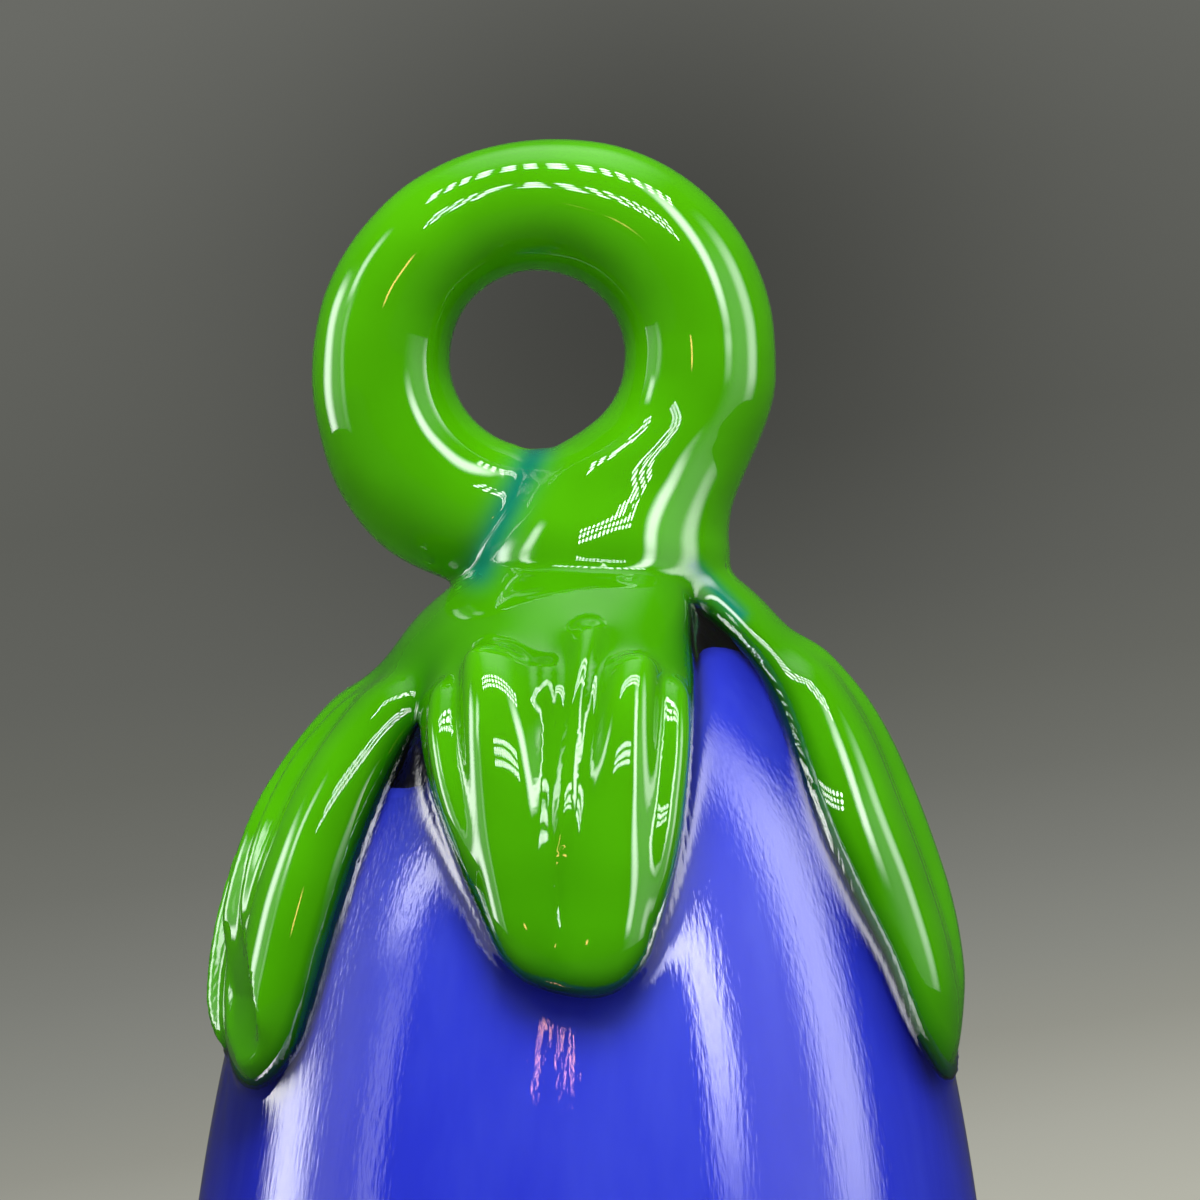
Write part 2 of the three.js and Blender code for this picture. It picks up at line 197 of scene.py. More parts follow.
def body_place(points):
    """Distance below the neck, height above the glass, and azimuth from the front, of points."""
    x, y, z = points.T
    radius = np.hypot(x, y)
    pairs = np.stack([radius, z], -1)
    row = np.minimum(np.rint(radius), TABLE_RADIUS - 1).astype(int)
    column = np.clip(np.rint(z), 0, TABLE_HEIGHT - 1).astype(int)
    t = nearest(pairs, table_t[row * TABLE_HEIGHT + column], 3)
    first = bezier(side_controls, t, 1)
    first /= np.linalg.norm(first, axis=-1, keepdims=True)
    away = pairs - bezier(side_controls, t)
    s = np.interp(t, side_t, side_s)
    h = away[:, 1] * first[:, 0] - away[:, 0] * first[:, 1]
    turn = np.arctan2(radius, z - DOME_CENTRE)
    on_dome = turn < SHOULDER_SLOPE
    s = np.where(on_dome, (turn - SHOULDER_SLOPE) * DOME_RADIUS, s)
    h = np.where(on_dome, np.hypot(radius, z - DOME_CENTRE) - DOME_RADIUS, h)
    return s, h, np.arctan2(x, -y)


def azimuth_away(azimuth, middle):
    """How far azimuths are from one, in radians either way."""
    return (azimuth - middle + math.pi) % (2 * math.pi) - math.pi


print("places in the coarse table:", len(table_t))

# %% [markdown]
# ## Shapes that melt into each other
# Hot glass has no edges where two bits meet: the joint pulls into a fillet. Boxes of vertices can't
# show that well, so each bit is a formula that is below zero inside the glass, and about as large
# as the distance in mm outside. The smaller of two formulas joins two bits, and a soft version of
# "the smaller" gives the fillet.

# %% Formulas for soft bits of glass
# At the crest of a strip its formula has no slope. This keeps the division by it finite.
LEAST_SLOPE = 0.2


def soft_min(a, b, fillet):
    """The smaller of two distances, with a fillet of about that many mm where they meet."""
    near = np.maximum(fillet - np.abs(a - b), 0) / fillet
    return np.minimum(a, b) - near**3 * fillet / 6


def soft_max(a, b, fillet):
    """The larger of two distances, with a rounded edge."""
    return -soft_min(-a, -b, fillet)


def through(s, stations, column):
    """A smooth curve through one column of stations, read at s, the first column."""
    table = np.asarray(stations, float)
    xs, ys = table[:, 0], table[:, column]
    slopes = np.gradient(ys, xs)
    s = np.clip(s, xs[0], xs[-1])
    i = np.clip(np.searchsorted(xs, s, side="right") - 1, 0, len(xs) - 2)
    width = xs[i + 1] - xs[i]
    t = (s - xs[i]) / width
    low, high = ys[i], ys[i + 1]
    return (
        low * (1 + 2 * t) * (1 - t) ** 2
        + slopes[i] * width * t * (1 - t) ** 2
        + high * t**2 * (3 - 2 * t)
        - slopes[i + 1] * width * t**2 * (1 - t)
    )


def draped(s, q, h, stations, start_round, end_round, power, bend=0.0):
    """A strip of glass lying on the body. Its stations are place below the neck, middle, half
    width and height, all in mm, and its two ends are rounded over the lengths given. A bend of one
    over the body's radius turns its top to face the same way as the sepal's middle."""
    middle = through(s, stations, 1)
    h = h - np.tan(middle * bend) * (q - middle)
    half = through(s, stations, 2)
    height = through(s, stations, 3)
    first, last = stations[0][0], stations[-1][0]
    u = np.abs(q - middle) / half
    before = np.maximum(first + start_round - s, 0) / start_round
    after = np.maximum(s - (last - end_round), 0) / end_round
    value = before**2 + after**2 + u**power + (h / height) ** 2 - 1
    steep = (
        (power * u ** (power - 1) / half) ** 2
        + (2 * h / height**2) ** 2
        + (2 * before / start_round) ** 2
        + (2 * after / end_round) ** 2
    )
    return value / np.sqrt(steep + LEAST_SLOPE / height**2)


print("a fillet of 2 mm fills its corner by, mm:", round(-float(soft_min(0.0, 0.0, 2.0)), 2))

# %% [markdown]
# ## The stem and its loop
# The rod is drawn up from the crown, leans to the right and is wound once round the eye. It is
# thick where it starts, thins over the top, and its rounded end is tucked against its own foot, a
# little behind it. The ring is worked out round the eye, and the foot in level slices.

# %% The stem and its loop as formulas
EYE_RADIUS = 5.05
TAIL_BACK = 1.3
TAIL_ANGLE = 252.0
RING_FROM = -48.0
# Where the count of angles jumps by a full turn, in the open gap between start and tail.
ANGLE_JUMP = -78.0
# Angle round the eye in degrees from +X over the top, and the rod's radius there.
ROD_STATIONS = [
    (-60, 4.2), (-25, 4.2), (0, 4.3), (25, 4.33), (45, 4.24), (66, 4.02), (90, 3.75), (133, 3.72),
    (165, 3.88), (196, 4.1), (216, 4.38), (230, 4.48), (245, 4.38), (262, 4.2),
]
# Height, then the foot's middle, its half width and its half depth there.
FOOT_STATIONS = [
    (74.4, 0.8, 7.0, 6.8), (76.2, 0.75, 7.3, 6.95), (77.4, 0.8, 7.35, 6.9), (78.6, 1.0, 7.1, 6.65),
    (80.0, 1.5, 6.8, 6.2), (81.4, 2.2, 6.5, 5.7), (82.6, 3.0, 6.1, 5.3), (83.8, 4.2, 5.4, 4.9),
    (85.2, 5.5, 4.7, 4.5), (87.0, 6.4, 4.25, 4.2), (89.0, 6.5, 3.9, 3.9),
]
# The foot's ends are rounded over this, in mm. Its sides lean, so they are nearer than they are
# level by this share.
FOOT_EDGE = 1.0
FOOT_LEAN = 0.93

mounts = {mount["name"]: mount for mount in frame["record"]["mounts"]}
eye_x, _, eye_z = (value / MM for value in mounts["hanging_eye"]["pos_m"])


def ring(points):
    """Distance to the rod as it winds round the eye, with its rounded tail."""
    x, y, z = points.T
    dx, dz = x - eye_x, z - eye_z
    angle = np.degrees(np.arctan2(dz, dx))
    angle = np.where(angle < ANGLE_JUMP, angle + 360, angle)
    reach = np.hypot(dx, dz)
    on_ring = np.clip(angle, RING_FROM, TAIL_ANGLE)
    radius = through(on_ring, ROD_STATIONS, 1)
    share = np.clip((on_ring - TAIL_ANGLE / 2) / (TAIL_ANGLE / 2), 0, 1)
    back = TAIL_BACK * share**2 * (3 - 2 * share)
    turn = np.radians(on_ring)
    middle_x = (EYE_RADIUS + radius) * np.cos(turn)
    middle_z = (EYE_RADIUS + radius) * np.sin(turn)
    inside = (angle >= RING_FROM) & (angle <= TAIL_ANGLE)
    across = np.where(inside, reach - EYE_RADIUS - radius, np.hypot(dx - middle_x, dz - middle_z))
    return np.hypot(across, y - back) - radius


def foot(points):
    """Distance to the foot of the stem."""
    x, y, z = points.T
    half = through(z, FOOT_STATIONS, 2)
    depth = through(z, FOOT_STATIONS, 3)
    u = np.hypot((x - through(z, FOOT_STATIONS, 1)) / half, y / depth)
    side = (u - 1) * np.minimum(half, depth) * FOOT_LEAN
    low, high = FOOT_STATIONS[0][0], FOOT_STATIONS[-1][0]
    return soft_max(side, np.maximum(low - z, z - high), FOOT_EDGE)


print("eye of the loop at mm:", round(eye_x, 2), round(eye_z, 2))

# %% [markdown]
# ## The crown and the sepals
# The crown is a thin cap over the neck. Each sepal starts as a thin sheet drawn down from it, and
# the pressing tool leaves round ribs on it, with deep grooves between. So a sepal is one wide
# strip, for its outline, and a few narrow ones, for its ribs, melted together with small fillets.
# The two at the back can't be seen in the photograph and are pressed like the front one.

# %% What describes a sepal
# How flat-topped a rib is: the power in its formula. 2 gives a round ridge.
RIDGE = 2.0
LOBE = 2.3
# Each sepal has its azimuth in degrees, a sheet and ribs. Both are rows of stations: place below
# the neck, middle, half width and height, all in mm. Before its rows, a rib has its power and the
# lengths over which its two ends are rounded. A sheet has that length for its lower end.
SEPALS = {}


def describe(name, **shape):
    """Keeps what describes a sepal."""
    SEPALS[name] = shape
    print(name, "mm long:", shape["sheet"][-1][0], "ribs:", len(shape["ribs"]))


# %% The front sepal
describe(
    "sepal_front", azimuth=0, pressed=0.85, sheet_end=2.4,
    sheet=[
        (-1, 0.3, 5, 1), (3, -0.3, 6, 1.2), (7, -1.6, 7.5, 1.6), (11, -2.1, 7.7, 1.9),
        (14, -1.9, 7.1, 1.75), (17.2, -1.5, 6.1, 1.4), (20.2, -1.1, 5.1, 1.15), (23.1, -0.7, 4, 1.05),
        (25.5, -0.4, 3.1, 1),
    ],
    ribs=[
        (LOBE, 2, 3, [
            (6.2, -4.4, 1.9, 3), (9, -4.2, 2.2, 3.6), (12, -4, 2.4, 3.5), (14, -3.9, 2.4, 3.15),
            (16, -3.8, 2.3, 2.7), (18, -3.6, 2.2, 2.25), (21, -3.2, 1.9, 1.75), (24.6, -2.6, 1.5, 1.5),
        ]),
        (LOBE, 1.8, 3, [
            (6.7, 2.3, 1.45, 2.9), (9, 2.05, 1.6, 3.5), (12, 1.8, 1.8, 3.45), (14, 1.65, 1.95, 3.15),
            (16, 1.5, 2.1, 2.7), (18, 1.3, 2.3, 2.3), (21, 1, 2.4, 1.8), (25.3, 0.4, 2.2, 1.55),
        ]),
        (RIDGE, 2, 5, [
            (8, -7, 1.2, 2), (12, -7.1, 1.3, 2.5), (15, -6.6, 1.3, 2.3), (19, -5.6, 1.2, 1.9),
        ]),
        (RIDGE, 2, 5, [
            (7.8, 4.2, 1, 2), (12, 4.2, 1.1, 2.5), (16, 3.9, 1.1, 2.2), (21, 3.3, 1, 1.8),
        ]),
        (RIDGE, 1.5, 4, [(7, -1.9, 0.6, 2.2), (9.5, -1.9, 0.6, 2.5), (13, -2.1, 0.5, 2)]),
        (RIDGE, 1.2, 4, [
            (4.4, 0.1, 1, 1.9), (6.4, 0, 0.95, 2.4), (9, -0.3, 0.7, 2.5), (14, -0.8, 0.6, 2.3),
            (20, -1.4, 0.5, 1.7),
        ]),
    ],
)

# %% The right sepal
describe(
    "sepal_right", azimuth=77, sheet_end=3.2,
    sheet=[
        (-1, 0.4, 3.2, 1.5), (4, 0.6, 3.4, 1.7), (8.5, 0.3, 3.9, 2), (13, 0, 6, 2.1),
        (17.2, -0.1, 7.1, 2), (21.2, -0.1, 6.9, 1.8), (24.7, -0.1, 5.9, 1.6), (28.2, -0.9, 4.5, 1.3),
        (31.7, -1.8, 2.4, 0.9),
    ],
    ribs=[
        (LOBE, 3, 4, [
            (6, -0.6, 1.8, 2.2), (11, -1.9, 2.6, 2.8), (17, -3.3, 3.1, 2.7), (24, -2.8, 2.9, 2.3),
            (30.6, -1.8, 1.7, 1.3),
        ]),
        (RIDGE, 3, 4, [
            (5, 0.9, 2, 2.4), (11, 1.2, 2.6, 3.1), (17, 1.2, 2.6, 2.9), (24, 0.9, 2.4, 2.5),
            (30, -0.8, 1.6, 1.5),
        ]),
        (RIDGE, 3, 3, [
            (9, 3.6, 1.8, 2.3), (17, 5, 2, 2.5), (24, 3.9, 1.8, 2.1), (28, 2.2, 1.2, 1.6),
        ]),
    ],
)

# %% The two sepals at the back
describe(
    "sepal_back_right", azimuth=151, sheet_end=2.8,
    sheet=[
        (-1, 0, 5, 1), (3, 0, 6, 1), (8, 0, 7.2, 1.4), (12, 0.1, 7.5, 1.6), (16, 0.2, 7.1, 1.6),
        (20, 0.4, 6.3, 1.6), (25, 0.6, 4.9, 1.5), (29, 0.8, 3.2, 1.3),
    ],
    ribs=[
        (LOBE, 1.8, 3, [
            (6.6, -2.9, 1.9, 2.6), (12, -3, 2.1, 3.3), (18, -2.6, 2.1, 3.1), (25, -1.2, 2, 2.6),
            (28.6, -0.1, 1.8, 2.1),
        ]),
        (LOBE, 1.8, 3, [
            (6.9, 2.6, 1.8, 2.6), (12, 2.9, 2, 3.2), (18, 2.8, 2.1, 3), (25, 2.4, 1.9, 2.5),
            (28.4, 1.7, 1.7, 2),
        ]),
        (RIDGE, 1.8, 5, [(8, -6, 1.2, 1.8), (14, -5.9, 1.3, 2.4), (22, -4.2, 1.2, 1.9)]),
        (RIDGE, 1.8, 5, [(8, 5.9, 1.2, 1.7), (14, 5.9, 1.3, 2.3), (23, 4.6, 1.2, 1.8)]),
    ],
)
describe(
    "sepal_back_left", azimuth=220, sheet_end=2.6,
    sheet=[
        (-1, 0, 5, 1), (3, 0, 6, 1), (8, 0, 7, 1.4), (12, -0.1, 7.2, 1.6), (16, -0.3, 6.8, 1.6),
        (20, -0.5, 5.8, 1.6), (24, -0.7, 4.4, 1.4), (27, -0.9, 3, 1.2),
    ],
    ribs=[
        (LOBE, 1.8, 3, [
            (6.6, -2.7, 1.8, 2.6), (12, -3, 2, 3.3), (18, -2.9, 2, 2.9), (26.4, -1.6, 1.7, 2),
        ]),
        (LOBE, 1.8, 3, [
            (6.9, 2.5, 1.8, 2.6), (12, 2.8, 2, 3.2), (18, 2.1, 2, 2.8), (26, 0.1, 1.7, 2),
        ]),
        (RIDGE, 1.8, 5, [(8, -5.9, 1.2, 1.8), (14, -6, 1.2, 2.3), (21, -5, 1.1, 1.8)]),
        (RIDGE, 1.8, 5, [(8, 5.8, 1.2, 1.7), (14, 5.4, 1.3, 2.3), (20, 3.9, 1.2, 1.8)]),
    ],
)

# %% The left sepal
describe(
    "sepal_left", azimuth=-68, sheet_end=3,
    sheet=[
        (-1, 0, 4.4, 0.8), (4, -0.2, 4.6, 0.7), (7, -0.4, 4.4, 0.9), (11, -0.4, 5.3, 1.4),
        (15, -0.5, 5.6, 1.9), (19, -0.3, 5.8, 2), (23, 0, 5.7, 1.9), (26.5, 0.8, 5, 1.8),
        (29.2, 1.8, 4.2, 1.5), (31.6, 2.5, 3.3, 1.2),
    ],
    ribs=[
        (RIDGE, 2.5, 3, [
            (8, -3.4, 1.1, 1.3), (13, -4.9, 1.1, 2.3), (19, -5.2, 1.1, 2.8), (25, -4.2, 1, 2.5),
            (30.5, -1.8, 0.9, 1.7),
        ]),
        (RIDGE, 2.5, 4, [
            (8, -1.8, 1.1, 1.3), (14, -2.7, 1.3, 2.6), (19, -1.3, 1.3, 3.3), (24, -0.7, 1.1, 2.9),
            (27, -0.4, 0.9, 2.1),
        ]),
        (RIDGE, 2.5, 3, [
            (8.5, -0.2, 0.9, 1.3), (14, -0.6, 1.1, 2.6), (18, 0.4, 1.1, 3.2), (22.5, 1.1, 0.9, 2.9),
            (25, 1.4, 0.7, 2.3),
        ]),
        (LOBE, 2.5, 3, [
            (7.5, 2.2, 2, 1.4), (12, 2.6, 2.4, 2.4), (18, 3.1, 2.6, 3), (24, 3.6, 2.6, 2.9),
            (28, 3.8, 2.3, 2.6), (31.2, 3.1, 1.9, 1.9),
        ]),
    ],
)

# %% Formulas of the sepals and the crown
RIB_FILLET = 1.4
# A sheet is flatter-topped than its ribs, and starts with a short round.
SHEET_POWER = 2.4
SHEET_START = 2.0
# The left sepal's end is pressed into a spoon: its place, size, and the height of its flat
# floor, which rises towards the crown.
SPOON = {
    "place": 27.2, "middle": 2.0, "lean": 0.44, "half_length": 3.8, "half_width": 2.3,
    "floor": 1.35, "rise": 0.33, "edge": 0.4,
}
# How far below the neck the crown reaches, in mm, at azimuths in degrees, and its rounded edge.
CROWN_REACH = [
    (-180, 5.6), (-70, 5.6), (0, 5.6), (22, 5.0), (37, 3.0), (51, 1.2), (64, 3.0), (78, 5.2),
    (120, 5.6), (180, 5.6),
]
CROWN_EDGE = 4.0
CROWN_HEIGHT = 1.35
# It is this much thicker on its right than in the middle.
CROWN_TILT = 0.45


def sepal(name, s, h, azimuth):
    """Distance to a sepal with its pressed ribs."""
    shape = SEPALS[name]
    radius = outline(np.maximum(s, 0))[0]
    q = azimuth_away(azimuth, math.radians(shape["azimuth"])) * radius
    bend = shape.get("pressed", 0) / radius
    value = draped(s, q, h, shape["sheet"], SHEET_START, shape["sheet_end"], SHEET_POWER)
    for power, start_round, end_round, stations in shape["ribs"]:
        rib = draped(s, q, h, stations, start_round, end_round, power, bend)
        value = soft_min(value, rib, RIB_FILLET)
    if name == "sepal_left":
        along = s - SPOON["place"]
        off = (along / SPOON["half_length"]) ** 2
        off += ((q - SPOON["middle"] - SPOON["lean"] * along) / SPOON["half_width"]) ** 2
        share = np.exp(-(off**4))
        floor = SPOON["floor"] + SPOON["rise"] * np.maximum(-along, 0)
        value = value * (1 - share) + soft_max(value, h - floor, SPOON["edge"]) * share
    return value


def crown(s, h, azimuth):
    """Distance to the cap of green glass over the neck."""
    reach = through(np.degrees(azimuth), CROWN_REACH, 1)
    edge = np.maximum(s - (reach - CROWN_EDGE), 0) / CROWN_EDGE
    height = CROWN_HEIGHT + CROWN_TILT * np.sin(azimuth)
    value = edge**2 + (h / height) ** 2 - 1
    steep = (2 * h / height**2) ** 2 + (2 * edge / CROWN_EDGE) ** 2
    return value / np.sqrt(steep + LEAST_SLOPE / height**2)


print("thickest place of the crown in mm:", CROWN_HEIGHT + CROWN_TILT)

# %% [markdown]
# ## Melting it all together
# The crown and sepals run together with wide fillets, because they are one mass of glass drawn out
# hot. The stem meets the crown, and the tail the foot, with a narrow groove, which is welded shut
# under the eye. A slight waviness is added, since nothing here was made in a mould. The green glass
# sinks a little into the casing, so no air is left between the two.

# %% One formula for all the green glass
CROWN_FILLET = 2.0
STEM_FILLET = 0.9
TAIL_FILLET = 0.9
# Under the eye the tail and the foot are welded with a wider fillet: its place as (x, z).
WELD_PLACE = (-2.6, 82.9)
WELD_FILLET = 3.6
WELD_WIDTH = 1.7
SINK = 2.2
SINK_EDGE = 0.5
WAVINESS = 0.02
# What stands for the distance to a bit that is too far away to matter, in mm.
FAR = 9.0
# How far below the neck the stem matters, and how far round and how high a sepal does.
STEM_DEPTH = 6.0
SEPAL_REACH = math.radians(75)
SEPAL_HEIGHT = 8.0

PIECES = ["stem_loop", "crown_pad", *SEPALS]


def wavy(points):
    """A slow unevenness of the surface, a few hundredths of a millimetre."""
    x, y, z = points.T
    total = np.sin(0.61 * x + 0.35 * z + 1.3) * np.sin(0.52 * y - 0.44 * z + 0.4)
    total = total + 0.6 * np.sin(1.07 * z + 0.4 * x - 0.7 * y) * np.sin(0.83 * x + 2.1)
    return WAVINESS * total


def each_distance(points):
    """Distances to the stem, the crown and each sepal, one row each, and heights."""
    s, h, azimuth = body_place(points)
    rows = np.full((len(PIECES), len(points)), FAR)
    up = points[:, 2] > NECK_HEIGHT - STEM_DEPTH
    off = (points[up, 0] - WELD_PLACE[0]) ** 2 + (points[up, 2] - WELD_PLACE[1]) ** 2
    fillet = TAIL_FILLET + WELD_FILLET * np.exp(-off / WELD_WIDTH**2)
    rows[0, up] = soft_min(foot(points[up]), ring(points[up]), fillet)
    rows[1] = crown(s, h, azimuth)
    for row, name in enumerate(SEPALS, 2):
        away = np.abs(azimuth_away(azimuth, math.radians(SEPALS[name]["azimuth"])))
        beside = (away < SEPAL_REACH) & (np.abs(h) < SEPAL_HEIGHT)
        rows[row, beside] = sepal(name, s[beside], h[beside], azimuth[beside])
    return rows, h


def green_glass_distance(points):
    """Distance to all the green glass melted together, in mm."""
    rows, h = each_distance(points)
    value = rows[1]
    for row in rows[2:]:
        value = soft_min(value, row, CROWN_FILLET)
    value = soft_min(value, rows[0], STEM_FILLET)
    value = soft_max(value, -h - SINK, SINK_EDGE)
    return value + wavy(points)


eye_top = np.array([[eye_x, 0.0, eye_z + EYE_RADIUS]])
print("from the top of the eye to the glass, mm:", round(float(green_glass_distance(eye_top)[0]), 3))

# %% [markdown]
# ## From the formula to a mesh
# A lattice of points is laid through the glass. In each of its cells that the surface crosses, one
# vertex is put, and each edge of the lattice that crosses it gives a face between four cells. This
# is the method of surface nets. It leaves even squares with no seams, which shine better than the
# long thin faces of joined tubes. Each vertex then steps down the slope of the formula until it
# lies on the surface, and the slope also gives its exact normal.

# %% Surface nets
LATTICE_STEP = 0.38
SLOPE_STEP = 0.02
LEAST_STEEPNESS = 0.05
# The lattice is first tried at every fourth point, and filled in only within some of these wide
# steps of the surface, a batch of points at a time.
SKIP = 4
NEAR_STEPS = 2.2
BATCH = 300000


def slope_of(points):
    """Slope of the green glass formula at points."""
    steps = np.eye(3) * SLOPE_STEP
    ahead = [green_glass_distance(points + step) for step in steps]
    behind = [green_glass_distance(points - step) for step in steps]
    return (np.array(ahead) - np.array(behind)).T / (2 * SLOPE_STEP)


def surface_net(low, high, step):
    """Vertices and faces of the green glass surface inside a box."""
    axes = [np.arange(low[k], high[k] + step, step) for k in range(3)]
    grid = np.stack(np.meshgrid(*axes, indexing="ij"), -1)
    shape = grid.shape[:3]
    flat = grid.reshape(-1, 3)
    coarse = grid[::SKIP, ::SKIP, ::SKIP]
    rough = green_glass_distance(coarse.reshape(-1, 3)).reshape(coarse.shape[:3])
    for axis in range(3):
        rough = rough.repeat(SKIP, axis)
    values = rough[:shape[0], :shape[1], :shape[2]].reshape(-1)
    near = np.flatnonzero(np.abs(values) < NEAR_STEPS * SKIP * step)
    for start in range(0, len(near), BATCH):
        part = near[start:start + BATCH]
        values[part] = green_glass_distance(flat[part])
    values = values.reshape(shape)
    inside = values < 0
    corners = [inside[i:shape[0] - 1 + i, j:shape[1] - 1 + j, k:shape[2] - 1 + k]
               for i in (0, 1) for j in (0, 1) for k in (0, 1)]
    count = sum(corner.astype(int) for corner in corners)
    crossed = (count > 0) & (count < 8)
    number = np.full(crossed.shape, -1)
    number[crossed] = np.arange(crossed.sum())
    cells = np.argwhere(crossed)
    vertices = np.array(low) + (cells + 0.5) * step
    faces = []
    for axis in range(3):
        first = np.moveaxis(inside, axis, 0)[:-1]
        second = np.moveaxis(inside, axis, 0)[1:]
        numbers = np.moveaxis(number, axis, 0)
        for way, change in ((1, first & ~second), (-1, ~first & second)):
            i, j, k = np.nonzero(change[:, 1:-1, 1:-1])
            quad = [numbers[i, j + b, k + c] for b, c in ((0, 0), (1, 0), (1, 1), (0, 1))]
            turn = way * (-1 if axis == 1 else 1)
            faces.append(np.stack(quad[::turn], -1))
    return vertices, np.concatenate(faces)


def settle(vertices, rounds, limit):
    """Moves vertices onto the surface along the slope of the formula."""
    for _ in range(rounds):
        value = green_glass_distance(vertices)
        slope = slope_of(vertices)
        size = (slope**2).sum(1)
        move = -slope * (value / np.maximum(size, LEAST_STEEPNESS))[:, None]
        length = np.linalg.norm(move, axis=1, keepdims=True)
        vertices = vertices + move * np.minimum(1, limit / np.maximum(length, 1e-9))
    return vertices


def evened(vertices, faces, share):
    """Moves each vertex part of the way to the middle of its neighbours."""
    total = np.zeros_like(vertices)
    count = np.zeros(len(vertices))
    for a, b in ((0, 1), (1, 2), (2, 3), (3, 0)):
        for one, other in ((a, b), (b, a)):
            np.add.at(total, faces[:, one], vertices[faces[:, other]])
            np.add.at(count, faces[:, one], 1)
    return vertices + share * (total / np.maximum(count, 1)[:, None] - vertices)


print("lattice step in mm:", LATTICE_STEP)

# %% Draw and settle the net
# The box that holds all the green glass, in mm.
GREEN_LOW = (-24.0, -25.0, 43.0)
GREEN_HIGH = (24.5, 23.0, 103.0)
EVENING = 0.6

net_points, net_faces = surface_net(GREEN_LOW, GREEN_HIGH, LATTICE_STEP)
net_points = settle(net_points, 2, LATTICE_STEP)
for _ in range(2):
    net_points = settle(evened(net_points, net_faces, EVENING), 1, LATTICE_STEP)
net_points = settle(net_points, 1, LATTICE_STEP)
net_slopes = slope_of(net_points)
net_normals = net_slopes / np.linalg.norm(net_slopes, axis=1, keepdims=True)
net_owner = np.argmin(each_distance(net_points)[0], axis=0)
print("green glass vertices and faces:", len(net_points), len(net_faces))

# %% [markdown]
# ## Cutting the net into named pieces
# On a bench the sepals, the crown and the stem are separate bits, so each is a piece of its own.
# Every face goes to the bit that its vertices belong to. Where two pieces part, in the melted
# joint, each is closed inside with a short wall and a fan, and both keep the exact normals along
# the seam, so it doesn't show.

# %% Helpers that make a piece
# How far inward the wall that closes a seam goes, in mm.
SEAM_DEPTH = 0.5


def make_object(name, vertices, faces, material=None):
    """A mesh object from vertices in mm."""
    mesh = bpy.data.meshes.new(name)
    mesh.from_pydata((np.asarray(vertices) * MM).tolist(), [], [list(map(int, f)) for f in faces])
    mesh.validate()
    obj = bpy.data.objects.new(name, mesh)
    scene.collection.objects.link(obj)
    if material:
        mesh.materials.append(material)
    return obj


def face_owners(faces, owner):
    """The bit that most of a face's vertices belong to."""
    votes = np.stack([(owner[faces] == k).sum(1) for k in range(len(PIECES))], 1)
    return votes.argmax(1)


def close_seams(obj, normals):
    """Closes the open ends that a piece has where it was cut from its neighbours: a short wall
    goes inward from each rim, and a fan closes it."""
    mesh = bmesh.new()
    mesh.from_mesh(obj.data)
    mesh.verts.ensure_lookup_table()
    rims = dict.fromkeys(edge for edge in mesh.edges if edge.is_boundary)
    while rims:
        edge, _ = rims.popitem()
        loop = [edge.verts[0], edge.verts[1]]
        while loop[-1] is not loop[0]:
            onward = next(e for e in loop[-1].link_edges if e in rims)
            del rims[onward]
            loop.append(onward.other_vert(loop[-1]))
        loop.pop()
        inner = [mesh.verts.new(v.co - Vector(normals[v.index]) * SEAM_DEPTH * MM) for v in loop]
        centre = mesh.verts.new(sum((v.co for v in inner), Vector()) / len(inner))
        for i, vert in enumerate(loop):
            j = (i + 1) % len(loop)
            mesh.faces.new((vert, loop[j], inner[j], inner[i]))
            mesh.faces.new((inner[i], inner[j], centre))
    bmesh.ops.recalc_face_normals(mesh, faces=mesh.faces)
    mesh.to_mesh(obj.data)
    mesh.free()


def set_normals(obj, normals):
    """Gives each vertex its exact normal, so that the faces shade as one smooth surface."""
    obj.data.shade_smooth()
    hidden = [vert.normal for vert in obj.data.vertices[len(normals):]]
    obj.data.normals_split_custom_set_from_vertices([*map(Vector, normals), *hidden])


def store(obj, name, values):
    """Keeps a number for each vertex of a piece, for its material. Vertices in a seam keep 0."""
    layer = obj.data.attributes.new(name, "FLOAT", "POINT")
    padded = np.zeros(len(obj.data.vertices), np.float32)
    padded[:len(values)] = values
    layer.data.foreach_set("value", padded)


owners = face_owners(net_faces, net_owner)
print("faces of each piece:", dict(zip(PIECES, np.bincount(owners).tolist())))

# %% Make the green pieces
# Lines along which the green is teal: two ends as (x, z) in mm, and a width.
TEAL_LINES = [((-2.9, 83.3), (-6.2, 76.4), 0.9), ((6.0, 76.6), (8.6, 73.9), 0.4)]


def teal_share(points):
    """How teal the glass is at points on the front, from 0 to 1."""
    total = np.zeros(len(points))
    for start, end, width in TEAL_LINES:
        start, along = np.array(start), np.array(end) - start
        flat = points[:, ::2] - start
        t = np.clip(flat @ along / (along @ along), 0, 1)
        off = np.linalg.norm(flat - t[:, None] * along, axis=1)
        total += np.exp(-((off / width) ** 2))
    return total * (points[:, 1] < 0)


net_thickness = body_place(net_points)[1]
net_teal = teal_share(net_points)
green_pieces = {}
for index, name in enumerate(PIECES):
    own = net_faces[owners == index]
    used, renumbered = np.unique(own, return_inverse=True)
    piece = make_object("glass_" + name, net_points[used], renumbered.reshape(own.shape))
    close_seams(piece, net_normals[used])
    set_normals(piece, net_normals[used])
    store(piece, "thickness", net_thickness[used])
    store(piece, "teal", net_teal[used])
    green_pieces[name] = piece
    print(name, "faces:", len(piece.data.polygons))

